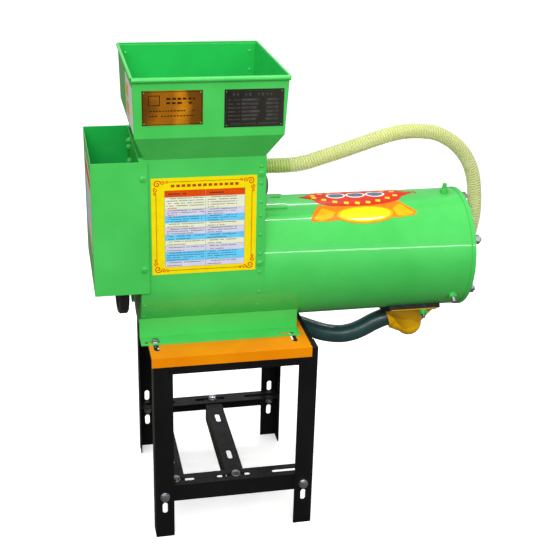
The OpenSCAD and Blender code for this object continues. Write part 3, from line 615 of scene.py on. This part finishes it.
FINISH = {
    BLACK: [f"leg_{side}_{end}" for side in ("front", "back") for end in ("left", "right")]
           + ["top_rail_" + edge for edge in ("front", "back", "left", "right")]
           + ["lower_bar_front", "lower_bar_back", "motor_rail_left", "motor_rail_right"],
    ORANGE: ["top_plate"],
    ZINC: ["stand_bolts", "motor_rail_left_bolts", "motor_rail_right_bolts", "base_bolts",
           "end_cover_bolts", "spout_studs"],
    GREEN: ["base_rail_front", "base_rail_back", "crusher_casing", "casing_rivets", "casing_screws",
            "inlet_pipe", "drain_elbow", "barrel", "barrel_strap", "end_cover", "outlet_elbow",
            "spout_wing_nuts", "hopper_rivets", "guard_bolts", "sieve_bolts"],
    GREEN_BOXES_SHADED_INSIDE["hopper"]: ["hopper_front", "hopper_back", "hopper_left", "hopper_right"],
    GREEN_BOXES_SHADED_INSIDE["guard"]: ["belt_guard"],
    GREEN_SHADED: ["left_end_plate", "right_end_plate", "feed_chute"],
    SIEVE: ["crusher_sieve", "separator_sieve"],
    STEEL: ["separator_shaft", "separator_blades", "feed_paddles", "crusher_shaft"],
    IRON: ["separator_pulley", "crusher_pulley"],
    CAST: ["bearing_separator_left", "bearing_separator_right", "bearing_crusher_left",
           "bearing_crusher_right"],
    GASKET: ["spout_gasket"],
    YELLOW: ["outlet_spout"],
    GOLD_PLATE: ["gold_plate"],
    BLACK_PLATE: ["black_plate"],
}
for material, names in FINISH.items():
    for name in names:
        for material_slot in nodes[name].material_slots:
            material_slot.material = material


# -------- fasteners

def islands(name):
    """The box of each separate solid in a CAD node, low and high corner."""
    bm = bmesh.new()
    bm.from_mesh(nodes[name].data)
    bmesh.ops.remove_doubles(bm, verts=bm.verts, dist=1e-6)
    left, boxes = set(bm.verts), []
    while left:
        todo, own = [left.pop()], []
        while todo:
            v = todo.pop()
            own.append(v.co.copy())
            for edge in v.link_edges:
                other = edge.other_vert(v)
                if other in left:
                    left.remove(other)
                    todo.append(other)
        boxes.append([Vector([end(c[i] for c in own) for i in range(3)]) for end in (min, max)])
    bm.free()
    return sorted(boxes, key=lambda box: tuple(box[0]))


def turned(rings, sides=24):
    """A solid turned about +Z from (height, radius) rings in mm; either may depend on the angle."""
    verts, faces = [], []
    for z, r in rings:
        for k in range(sides):
            w = 2 * math.pi * k / sides
            height = z(w) if callable(z) else z
            radius = r(w) if callable(r) else r
            verts.append(Vector((radius * math.cos(w), radius * math.sin(w), height)) * MM)
    for i in range(len(rings) - 1):
        for k in range(sides):
            j = (k + 1) % sides
            faces.append((i * sides + k, i * sides + j, (i + 1) * sides + j, (i + 1) * sides + k))
    faces.append(tuple(range(sides))[::-1])
    faces.append(tuple(range((len(rings) - 1) * sides, len(rings) * sides)))
    return verts, faces


def hexagon(across, z, height, both=False):
    """Hexagon from z up, with the round chamfer that a real head or nut has."""
    def flat(w):
        return across / 2 / math.cos(w % (math.pi / 3) - math.pi / 6)

    def drop(w):
        return (flat(w) - 0.475 * across) * 0.55
    low = [(z, 0.475 * across), (lambda w: z + drop(w), flat)] if both else [(z, flat)]
    return turned(low + [(lambda w: z + height - drop(w), flat), (z + height, 0.475 * across)])


def washer(radius, thick=1.6):
    return turned([(0, radius - 0.2), (0.2, radius), (thick - 0.2, radius), (thick, radius - 0.2)], 36)


def thread(radius, low, high, pitch):
    """Threaded rod between two heights, with a ridge at each pitch and pointed ends."""
    rings, z, out = [(low, radius - pitch * 0.6)], low + pitch / 2, True
    while z < high - pitch / 2:
        rings.append((z, radius if out else radius - pitch * 0.45))
        z += pitch / 2
        out = not out
    return turned(rings + [(high, radius - pitch * 0.6)], 18)


def merged(parts):
    verts, faces = [], []
    for (own, polys), place in parts:
        base = len(verts)
        verts += [place @ v for v in own]
        faces += [tuple(base + i for i in poly) for poly in polys]
    return verts, faces


def aim(origin, axis, spin=0.0):
    """Puts a turned part's +Z along axis, with its z = 0 at origin."""
    return (Matrix.Translation(origin) @ Vector(axis).to_track_quat("Z", "Y").to_matrix().to_4x4()
            @ Matrix.Rotation(spin, 4, "Z"))


def hex_bolt(across, head, radius, washer_r, grip, tail, seat, pitch=1.5):
    """Bolt on a plate whose top is z = 0: washer and head above, thread and nut below."""
    return [washer(washer_r), hexagon(across, seat, head), thread(radius, -grip - tail, seat + 0.5, pitch),
            hexagon(across, -grip - head, head, True)]


def fasteners(name, node, body, parts_at):
    """One zinc mesh for the fasteners of a node: parts_at gives parts and their place for each solid."""
    parts = []
    for index, (low, high) in enumerate(islands(node)):
        own, place = parts_at(index, low, high)
        parts += [(part, place) for part in own]
    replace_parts(piece(name, *merged(parts), ZINC, "zinc", body), node)


# How far the CAD node's fasteners stand out of the face that they sit on
BOLT_OUT, BASE_BOLT_OUT, COVER_STUD_OUT = 0.0065, 0.0071, 0.016


def stand_bolt(index, low, high):
    out = -1 if high.y < 0 else 1
    middle = (low + high) / 2
    seat = (low.y if out < 0 else high.y) - out * BOLT_OUT
    return (hex_bolt(17, 5.4, 5, 10.5, grip=5, tail=12, seat=1.6),
            aim((middle.x, seat, middle.z), (0, out, 0), 0.3 + 0.5 * index))


def rail_bolt(index, low, high):
    middle = (low + high) / 2
    return (hex_bolt(16, 5.2, 5, 9.5, grip=5.4, tail=12, seat=1.4),
            aim((middle.x, middle.y, high.z - BOLT_OUT), (0, 0, 1), 0.4 + 0.7 * index))


def base_bolt(index, low, high):
    middle = (low + high) / 2
    return (hex_bolt(13, 5.5, 4, 8.5, grip=8.6, tail=10, seat=1.6, pitch=1.25),
            aim((middle.x, middle.y, high.z - BASE_BOLT_OUT), (0, 0, 1), 0.9 + 0.6 * index))


def cover_nut(index, low, high):
    middle = (low + high) / 2
    return ([washer(11.5, 2), hexagon(18, 2, 10, True), thread(6, -10, 16, 1.75)],
            aim((high.x - COVER_STUD_OUT, middle.y, middle.z), (1, 0, 0), 0.35 * index))


def outward(low, high):
    """Direction away from the barrel's axis through the middle of a solid, and that middle's x."""
    middle = (low + high) / 2
    return Vector((0, middle.y, middle.z - AXIS_Z)).normalized(), middle.x


def on_barrel(x, axis, radius, spin=0.0):
    return aim(Vector((x, 0, AXIS_Z)) + axis * (radius * MM), axis, spin)


fasteners("stand_bolts_detail", "stand_bolts", "frame", stand_bolt)
fasteners("rail_left_bolts_detail", "motor_rail_left_bolts", "motor_rail_left", rail_bolt)
fasteners("rail_right_bolts_detail", "motor_rail_right_bolts", "motor_rail_right", rail_bolt)
fasteners("base_bolts_detail", "base_bolts", "frame", base_bolt)
fasteners("cover_nuts_detail", "end_cover_bolts", "frame", cover_nut)


def sieve_screws():
    """The top screw was painted with the barrel; the other two are bare threads in painted nuts."""
    green, bare = [], []
    for low, high in islands("sieve_bolts"):
        axis, x = outward(low, high)
        place = on_barrel(x, axis, 130, 0.5)
        green.append((turned([(0.2, 8.8), (2.4, 8.8), (2.6, 8.4)], 28), place))
        green.append((hexagon(16.5, 2.6, 6.4, True), place))
        (green if axis.z > 0.5 else bare).append((thread(5, -16.7, 21, 1.5), place))
    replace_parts(piece("sieve_nuts_detail", *merged(green), GREEN, "green_paint"), "sieve_bolts")
    piece("sieve_screws_detail", *merged(bare), ZINC, "zinc")


def spout_threads():
    """Studs that stand out of the trough and hold the spout."""
    parts = []
    for low, high in islands("spout_studs"):
        axis, x = outward(low, high)
        parts.append((thread(4, 0, 32, 1.25), on_barrel(x, axis, 129)))
    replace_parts(piece("spout_studs_detail", *merged(parts), ZINC, "zinc"), "spout_studs")


def grate_nuts():
    """Painted nuts on the left end plate that hold the grate behind the crusher's drum."""
    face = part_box("left_end_plate")[0][0]
    parts = []
    for y, z in ((64, 822), (62, 809), (60, 779)):
        place = aim(Vector((face, y * MM, z * MM)), (-1, 0, 0), 0.2)
        own = (washer(8, 1.4), hexagon(12, 1.4, 4.5), thread(3.6, 0.5, 7.5, 1.25))
        parts += [(part, place) for part in own]
    piece("grate_nuts_detail", *merged(parts), GREEN, "green_paint")


sieve_screws()
spout_threads()
grate_nuts()


# -------- welds

def weld(name, runs, radius):
    """Painted weld beads: thin tubes whose thickness ripples as the weld pool froze."""
    parts = []
    for run in runs:
        path, _ = smooth_path(metres(run), 0.0012)
        radii = []
        for i in range(len(path)):
            end = min(i, len(path) - 1 - i) / 3
            ripple = 0.85 + 0.15 * math.sin(i * 2.1) + 0.10 * math.sin(i * 0.37 + len(run))
            radii.append(radius * MM * ripple * min(1, 0.35 + 0.4 * end))
        parts.append((tube_mesh(path, radii, 0.0002, (0.3, 0.2, 1), 10), Matrix.Identity(4)))
    piece(name, *merged(parts), GREEN, "green_paint")


def ring_run(centre, radius):
    """Closed round run about the X direction, for a pipe welded to a plate."""
    count = 28
    place = aim(Vector(centre), (1, 0, 0))
    return [tuple(place @ Vector((radius * math.cos(w), radius * math.sin(w), 0)))
            for w in (2 * math.pi * k / count for k in range(count + 1))]


def make_welds():
    """Five tacks between the trough and each base rail, and a ring where each water pipe is welded on."""
    seam_y, seam_z = 90.6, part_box("base_rail_front")[1][2] / MM - 3.0
    reach, pipe_r = 9, 13.6
    tacks = []
    for side in (-1, 1):
        y = side * seam_y
        for x in (-318, -262, -182, -101, -30):
            tacks.append([(x - reach, y, seam_z), (x, y - side * 0.3, seam_z + 0.4), (x + reach, y, seam_z)])
    weld("rail_tacks", tacks, 2.4)
    rings = [ring_run((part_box(pipe)[0][0] / MM + 0.6, y, z), pipe_r)
             for pipe, y, z in (("inlet_pipe", -45, 790), ("outlet_elbow", 0, 520))]
    weld("pipe_welds", rings, 1.8)


make_welds()


# -------- skirt of the spout

def spout_skirt():
    """Moulded funnel from the spout's flange, which follows the barrel, down to its bowl."""
    top_x, top_half_x, top_half_y, top_r = 276, 54, 64, 141.9
    bowl_x, bowl_r = 291, 30.6
    bowl_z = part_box("outlet_spout")[0][2] / MM + 39
    sides, levels, wall = 60, 8, 2

    def ring(t, inset):
        """One turn of the shell: t runs from 0 at the flange to 1 at the bowl."""
        out = []
        for i in range(sides):
            c, s = math.cos(2 * math.pi * i / sides), math.sin(2 * math.pi * i / sides)
            x0 = top_x + (top_half_x - inset) * math.copysign(abs(c) ** 0.3, c)
            y0 = (top_half_y - inset) * math.copysign(abs(s) ** 0.3, s)
            z0 = AXIS_Z / MM - math.sqrt(top_r ** 2 - y0 ** 2)
            x1, y1 = bowl_x + (bowl_r - inset) * c, (bowl_r - inset) * s
            f = t ** 0.92
            out.append(Vector((x0 + (x1 - x0) * f, y0 + (y1 - y0) * f, z0 + (bowl_z - z0) * t)) * MM)
        return out
    rings = [ring(k / levels, 0) for k in range(levels + 1)]
    rings += [ring(1 - k / levels, wall) for k in range(levels + 1)]
    piece("spout_skirt", *shell(rings), YELLOW, "yellow_paint")


spout_skirt()


# -------- rolled rim of the hopper

def hopper_hem():
    """The walls' top edges are rolled into tubes, thicker in front and behind, and open at their ends."""
    x0, x1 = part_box("hopper_left")[0][0] / MM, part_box("hopper_right")[1][0] / MM
    y0, y1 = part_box("hopper_front")[0][1] / MM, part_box("hopper_back")[1][1] / MM
    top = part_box("hopper_front")[1][2] / MM
    thick_r, thin_r, wall = 4.5, 2.8, 1.1
    runs = [([(x, y, top - thick_r) for x in (x0, (x0 + x1) / 2, x1)], thick_r) for y in (y0 - 1.2, y1 + 1.2)]
    runs += [([(x, y, top - thin_r) for y in (y0 + 2.6, 0, y1 - 2.6)], thin_r) for x in (x0 + 0.4, x1 - 0.4)]
    parts = []
    for run, radius in runs:
        path, _ = smooth_path(metres(run), 0.02)
        tube = tube_mesh(path, [radius * MM] * len(path), (radius - wall) * MM, (0, 0, 1), 20)
        parts.append((tube, Matrix.Identity(4)))
    piece("hopper_hem", *merged(parts), GREEN, "green_paint")


hopper_hem()


# -------- printed films

def film(name, outlines, place, low, high, ink, strips=0.0):
    """Thin printed shapes from low to high above a surface, in mm.

    The outlines lie in the sheet's own plane and place bends them into space; strips is the width
    of the bands that they are cut into first, so that they can follow a round surface.
    """
    bm, corners = bmesh.new(), {}

    def corner(u, v):
        key = (round(u, 4), round(v, 4))
        if key not in corners:
            corners[key] = bm.verts.new((u, v, 0))
        return corners[key]
    for outline in outlines:
        bm.faces.new([corner(u, v) for u, v in outline])
    bmesh.ops.triangulate(bm, faces=bm.faces[:])
    if strips:
        values = [v.co.y for v in bm.verts]
        cut = math.ceil(min(values) / strips) * strips
        while cut < max(values):
            bmesh.ops.bisect_plane(bm, geom=bm.verts[:] + bm.edges[:] + bm.faces[:],
                                   plane_co=(0, cut, 0), plane_no=(0, 1, 0))
            cut += strips
    bm.verts.index_update()
    count = len(bm.verts)
    flat = [(v.co.x, v.co.y) for v in bm.verts]
    faces = [[v.index for v in f.verts] for f in bm.faces]
    faces += [[v.index + count for v in reversed(f.verts)] for f in bm.faces]
    for edge in bm.edges:
        if edge.is_boundary:
            a, b = edge.verts[0].index, edge.verts[1].index
            faces.append([a, b, b + count, a + count])
    bm.free()
    verts = [place(u, v, high) for u, v in flat] + [place(u, v, low) for u, v in flat]
    piece(name, [Vector(p) * MM for p in verts], faces, INK[ink], "green_paint", smooth=False)


def box2(x0, y0, x1, y1):
    return [(x0, y0), (x1, y0), (x1, y1), (x0, y1)]


def ellipse(cx, cy, rx, ry, count=40, start=0.0, end=1.0):
    last = count if end - start < 1 else count - 1
    angles = [2 * math.pi * (start + (end - start) * i / count) for i in range(last + 1)]
    return [(cx + rx * math.cos(w), cy + ry * math.sin(w)) for w in angles]


def crescent(cx, cy, rx, ry, start, end, thick):
    """Slim moon along part of an ellipse, pointed at both ends."""
    outer = ellipse(cx, cy, rx, ry, 16, start, end)
    inner = []
    for i, (x, y) in enumerate(reversed(outer)):
        shrink = 1 - thick * math.sin(math.pi * i / 16)
        inner.append((cx + (x - cx) * shrink, cy + (y - cy) * shrink))
    return outer + inner[1:-1]


def ribbon(points, width):
    """Flat band of one width along a line, as one four-sided outline per step."""
    left, right = [], []
    for i, (x, y) in enumerate(points):
        x0, y0 = points[max(i - 1, 0)]
        x1, y1 = points[min(i + 1, len(points) - 1)]
        size = math.hypot(x1 - x0, y1 - y0) or 1
        nx, ny = -(y1 - y0) / size * width / 2, (x1 - x0) / size * width / 2
        left.append((x + nx, y + ny))
        right.append((x - nx, y - ny))
    return [[left[i], left[i + 1], right[i + 1], right[i]] for i in range(len(points) - 1)]


class Dice:
    """Small repeatable number source, so that every run draws the same marks."""

    def __init__(self, seed):
        self.state = seed

    def between(self, low, high):
        self.state = (self.state * 1103515245 + 12345) % 2147483648
        return low + (high - low) * self.state / 2147483648


INK = {name: printed("ink_" + name, *look) for name, look in {
    "yellow": ((0.91, 0.76, 0.003), (0.86, 0.70, 0.002)),
    "red": ((0.72, 0.030, 0.004), (0.62, 0.022, 0.003)),
    "orange_red": ((0.78, 0.085, 0.004), (0.70, 0.065, 0.003)),
    "orange": ((0.90, 0.26, 0.002), (0.82, 0.20, 0.002)),
    "amber": ((0.98, 0.48, 0.002), (0.92, 0.40, 0.002)),
    "cream": ((0.82, 0.85, 0.66), (0.77, 0.80, 0.60)),
    "lavender": ((0.68, 0.68, 0.85), (0.62, 0.62, 0.80)),
    "blue": ((0.145, 0.65, 1.0), (0.12, 0.58, 0.95)),
    "rule": ((0.55, 0.075, 0.003), (0.45, 0.055, 0.002)),
    "grey": ((0.30, 0.30, 0.32), (0.24, 0.24, 0.26)),
    "faint": ((0.070, 0.070, 0.064), (0.040, 0.040, 0.036)),
    "brown": ((0.045, 0.014, 0.001), (0.030, 0.009, 0.001)),
    "dark": ((0.055, 0.035, 0.03), (0.04, 0.025, 0.02)),
    "white": ((0.93, 0.93, 0.90), (0.88, 0.88, 0.85)),
    "slate": ((0.13, 0.20, 0.28), (0.08, 0.10, 0.17), 160),
}.items()}


def dashes(dice, x0, x1, y, height, long_mark, gap):
    """A line of short plain marks that stands for print too small to read."""
    marks, x = [], x0
    while x < x1 - 1:
        width = dice.between(0.6, 1.0) * long_mark
        if dice.between(0, 1) > 0.12:
            marks.append(box2(x, y, min(x + width, x1), y + height))
        x += width + gap
    return marks


def scroll(cx, cy, sx, sy):
    """Corner curl drawn as two ribbons; sx and sy turn it into each corner."""
    def spiral_points(x, y, turn, size):
        count, out = 34, []
        for i in range(count):
            w = turn + 8.4 * i / (count - 1)
            r = size * (1 - 0.86 * i / (count - 1))
            out.append((x + r * math.cos(w), y + r * math.sin(w)))
        return out
    shapes = []
    for points, width in ((spiral_points(10, -10, 0.6, 7.5), 1.9), (spiral_points(21, -6.5, 2.6, 4.8), 1.5),
                          (spiral_points(6.5, -22, 1.6, 4.8), 1.5), (spiral_points(29, -5.5, 3.4, 3.2), 1.2),
                          (spiral_points(5.5, -30, 1.0, 3.2), 1.2)):
        for step in ribbon(points, width):
            shapes.append([(cx + sx * x, cy + sy * y) for x, y in step])
    return shapes


CHART_W, CHART_H = 211, 204


def chart_row(f):
    """Height on the chart of the line at fraction f from its top."""
    return CHART_H * (1 - f)


def chart_table(place):
    """Plain bands with dashes in two columns and ruled lines; gives back the dashes that are red."""
    dice = Dice(7)
    left, middle, right = CHART_W * 0.125, CHART_W * 0.513, CHART_W * 0.887
    stops = [0.126, 0.195, 0.322, 0.389, 0.457, 0.514, 0.583, 0.641, 0.700, 0.764, 0.860, 0.923]
    inks = ["orange_red"] + ["cream", "lavender", "blue"] * 3 + ["lavender"]
    bands, marks, red_marks = {}, [], []
    for top, bottom, ink in zip(stops, stops[1:], inks):
        bands.setdefault(ink, []).append(box2(left, chart_row(bottom), right, chart_row(top)))
        depth = (bottom - top) * CHART_H
        lines = max(1, round(depth / 5.4)) if ink != "orange_red" else 1
        for k in range(lines):
            y = chart_row(top) - depth * (k + 0.65) / lines
            for a, b, fill in ((left, middle, 0.96), (middle, right, 0.8)):
                end = a + (b - a) * fill * (dice.between(0.4, 0.75) if k == lines - 1 else 1)
                if ink == "orange_red":
                    marks += dashes(dice, a + 8, end - 2, y, 3.0, 3.6, 1.0)
                elif k == lines - 1 and a == left and ink in ("cream", "lavender") and top < 0.36:
                    red_marks += dashes(dice, a + 6, a + 24, y, 1.9, 3.0, 0.9)
                else:
                    marks += dashes(dice, a + 4 + 4 * (k == 0), end, y, 1.5, 2.2, 0.9)
    for ink, shapes in bands.items():
        film("chart_" + ink, shapes, place, 0.28, 0.36, ink)
    rules = [box2(left, chart_row(f) - 0.25, right, chart_row(f) + 0.25) for f in stops[1:]]
    low, high = chart_row(stops[-1]), chart_row(stops[0])
    rules += [box2(x - 0.35, low, x + 0.35, high) for x in (left, middle, right)]
    film("chart_grid", rules, place, 0.28, 0.42, "grey")
    film("chart_marks", marks, place, 0.28, 0.46, "dark")
    return red_marks


def chart_frame(place):
    """Ruled frame with a small wave in the middle of each upright side, and a row of blocks on top."""
    half = 0.6  # half the width of a line
    inset_x, inset_y = CHART_W * 0.045, CHART_H * 0.040
    lines = [box2(CHART_W * 0.155, v - half, CHART_W * 0.86, v + half) for v in (inset_y, CHART_H - inset_y)]
    for u in (inset_x, CHART_W - inset_x):
        for low, high in ((0.15, 0.47), (0.53, 0.85)):
            lines.append(box2(u - half, CHART_H * low, u + half, CHART_H * high))
        lines += ribbon([(u + 1.6 * math.sin(i * 1.1), CHART_H * 0.47 + i * 1.2) for i in range(11)], 1.1)
    film("chart_frame", lines, place, 0.28, 0.36, "rule")
    starts = [CHART_W * (0.185 + 0.0505 * i) for i in range(13)]
    title = [box2(u, chart_row(0.100) + 1, u + 7.2, chart_row(0.100) + 6.6) for u in starts]
    film("chart_title", title, place, 0.28, 0.40, "rule")


def chart_sheet():
    """Yellow comparison chart on the casing's front: plain shapes, nothing written."""
    low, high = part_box("crusher_casing")
    x0 = low[0] / MM + 23
    z0 = high[2] / MM - 38 - CHART_H

    def place(u, v, h):
        return (x0 + u, low[1] / MM - h, z0 + v)
    film("chart_sheet", [box2(0, 0, CHART_W, CHART_H)], place, 0.02, 0.30, "yellow")
    red = chart_table(place)
    chart_frame(place)
    for cy, sy in ((CHART_H - 2, 1), (2, -1)):
        red += scroll(2, cy, 1, sy) + scroll(CHART_W - 2, cy, -1, sy)
    film("chart_curls", red, place, 0.28, 0.40, "red")


def barrel_badge():
    """Red and yellow badge over the top of the barrel, kept to plain shapes."""
    def place(u, v, h):
        angle = v / (ROUND_R / MM)
        r = ROUND_R / MM + h
        return (u, -r * math.cos(angle), AXIS_Z / MM + r * math.sin(angle))

    def at(x, degrees):
        return (x, math.radians(degrees) * ROUND_R / MM)

    def across(points):
        """The same points on the other side of the top line."""
        return [(x, 180 - degrees) for x, degrees in reversed(points)]

    def wrapped(name, outlines, low, high, ink):
        film(name, outlines, place, low, high, ink, strips=4.0)
    # Outlines as (x in mm, degrees around the barrel), where 90 is its top line
    rim = [(21, 92), (46, 83), (54, 76), (85, 69), (120, 67.5), (156, 67.5), (204, 71), (236, 76), (246, 82),
           (267, 87), (284, 93)]
    base = [(29, 54), (42, 65), (55, 73.5), (85, 70), (156, 68.5), (204, 71), (231, 75), (248, 66),
            (266, 58.5), (259, 54.5), (222, 52.5), (150, 55), (72, 52), (33, 52)]
    glow = [[(60, 68), (42, 58), (36, 54.5), (52, 53), (74, 55), (88, 62)],
            [(232, 70), (248, 62), (258, 57), (241, 54), (221, 55), (210, 62)]]
    wrapped("badge_red", [[at(*p) for p in rim + across(rim)]], 0.02, 0.20, "red")
    wrapped("badge_base", [[at(*p) for p in base]], 0.02, 0.24, "orange")
    wrapped("badge_glow", [[at(*p) for p in w] for w in glow], 0.22, 0.30, "amber")
    middle = at(150.5, 58.5)
    wrapped("badge_rim", [ellipse(*middle, 67, 24)], 0.02, 0.36, "orange")
    wrapped("badge_ring", [ellipse(*middle, 62, 21.5)], 0.3, 0.42, "amber")
    wrapped("badge_face", [ellipse(*middle, 56, 18.5)], 0.3, 0.48, "yellow")
    wrapped("badge_shine", [crescent(*middle, 51, 16, 0.60, 0.92, 0.24)], 0.4, 0.54, "white")
    squares = [(52, 87), (71, 81.5), (93, 77), (117, 74.5), (141, 73.5), (165, 74), (188, 76), (212, 80),
               (232, 84.5)]
    tiles = []
    for x, degrees in squares + across(squares):
        cx, cy = at(x, degrees)
        tiles.append([(cx - 6, cy - 3), (cx + 4, cy - 5), (cx + 6, cy + 3), (cx - 4, cy + 5)])
    wrapped("badge_tiles", tiles, 0.1, 0.28, "yellow")
    ovals = [at(102, 90), at(146, 90), at(190, 90)]
    wrapped("badge_oval_rims", [ellipse(x, y, 21.5, 15) for x, y in ovals], 0.1, 0.28, "white")
    wrapped("badge_oval_fills", [ellipse(x, y, 17.5, 11.5) for x, y in ovals], 0.2, 0.34, "slate")


def plate_print(node, name, shapes, ink):
    """Shapes in mm from the lower left corner of a plate that leans with the hopper's front wall."""
    low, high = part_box(node)

    def place(u, v, h):
        f = v * MM / (high[2] - low[2])
        y = (high[1] / MM - 0.8) * (1 - f) + low[1] / MM * f
        return (low[0] / MM + u, y - h - 0.02, low[2] / MM + v)
    film(name, shapes, place, -0.1, 0.08, ink)


def frame_lines(x0, y0, x1, y1, thick):
    """The four sides of a rectangular frame."""
    return [box2(x0, y0, x1, y0 + thick), box2(x0, y1 - thick, x1, y1),
            box2(x0, y0 + thick, x0 + thick, y1 - thick), box2(x1 - thick, y0 + thick, x1, y1 - thick)]


def hopper_plates():
    """Frames, dashes and blocks on the gold plate and on the black one."""
    dice = Dice(23)
    marks = frame_lines(1.5, 1.5, 113.5, 65.3, 0.9) + frame_lines(12, 38, 34, 58, 1.6)
    for k, y in enumerate((49, 41)):
        marks += dashes(dice, 46, 100 - 6 * k, y, 4.0, 9, 3)
    for y in (27, 17):
        marks += dashes(dice, 14, 100, y, 2.2, 5, 2)
    plate_print("gold_plate", "gold_plate_print", marks, "brown")
    lines = frame_lines(3, 3, 112, 71, 0.5) + dashes(dice, 16, 92, 61, 5.5, 5, 4)
    for k in range(6):
        y = 13 + k * 7.6
        lines += dashes(dice, 7, 30, y + 1, 2.4, 5, 1.2)
        lines += [box2(33, y, 62 + 3 * (k % 3), y + 4.6), box2(80 + 2 * (k % 2), y, 104, y + 4.6)]
    lines += dashes(dice, 12, 104, 5.5, 2.6, 6, 1.4)
    plate_print("black_plate", "black_plate_print", lines, "faint")


def side_sheets():
    """Cream sheets with a plain coloured band, on the left of the hopper and of the guard."""
    hopper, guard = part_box("hopper_left"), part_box("belt_guard")
    rim_z, wall_h, wall_lean = 1006, 117, 2.5

    def on_hopper(u, v, h):
        z = 895 + v
        return (hopper[0][0] / MM + 1.5 + wall_lean * (rim_z - z) / wall_h - h, -152 + u, z)

    def on_guard(u, v, h):
        return (guard[0][0] / MM - h, -112 + u, 640 + v)
    film("hopper_sheet", [box2(0, 0, 150, 88)], on_hopper, 0.02, 0.25, "white")
    film("hopper_sheet_band", [box2(62, 4, 146, 84)], on_hopper, 0.2, 0.33, "cream")
    film("hopper_sheet_mark", [box2(80, 14, 128, 40), box2(80, 50, 128, 74)], on_hopper, 0.3, 0.40, "amber")
    film("guard_sheet", [box2(0, 0, 190, 160)], on_guard, 0.02, 0.25, "cream")
    film("guard_sheet_band", [box2(6, 128, 184, 154), box2(6, 6, 184, 14)], on_guard, 0.2, 0.33, "red")
    tiles = [box2(14 + 44 * i, 30, 50 + 44 * i, 110) for i in range(4)]
    film("guard_sheet_tiles", tiles, on_guard, 0.2, 0.33, "lavender")


chart_sheet()
barrel_badge()
hopper_plates()
side_sheets()
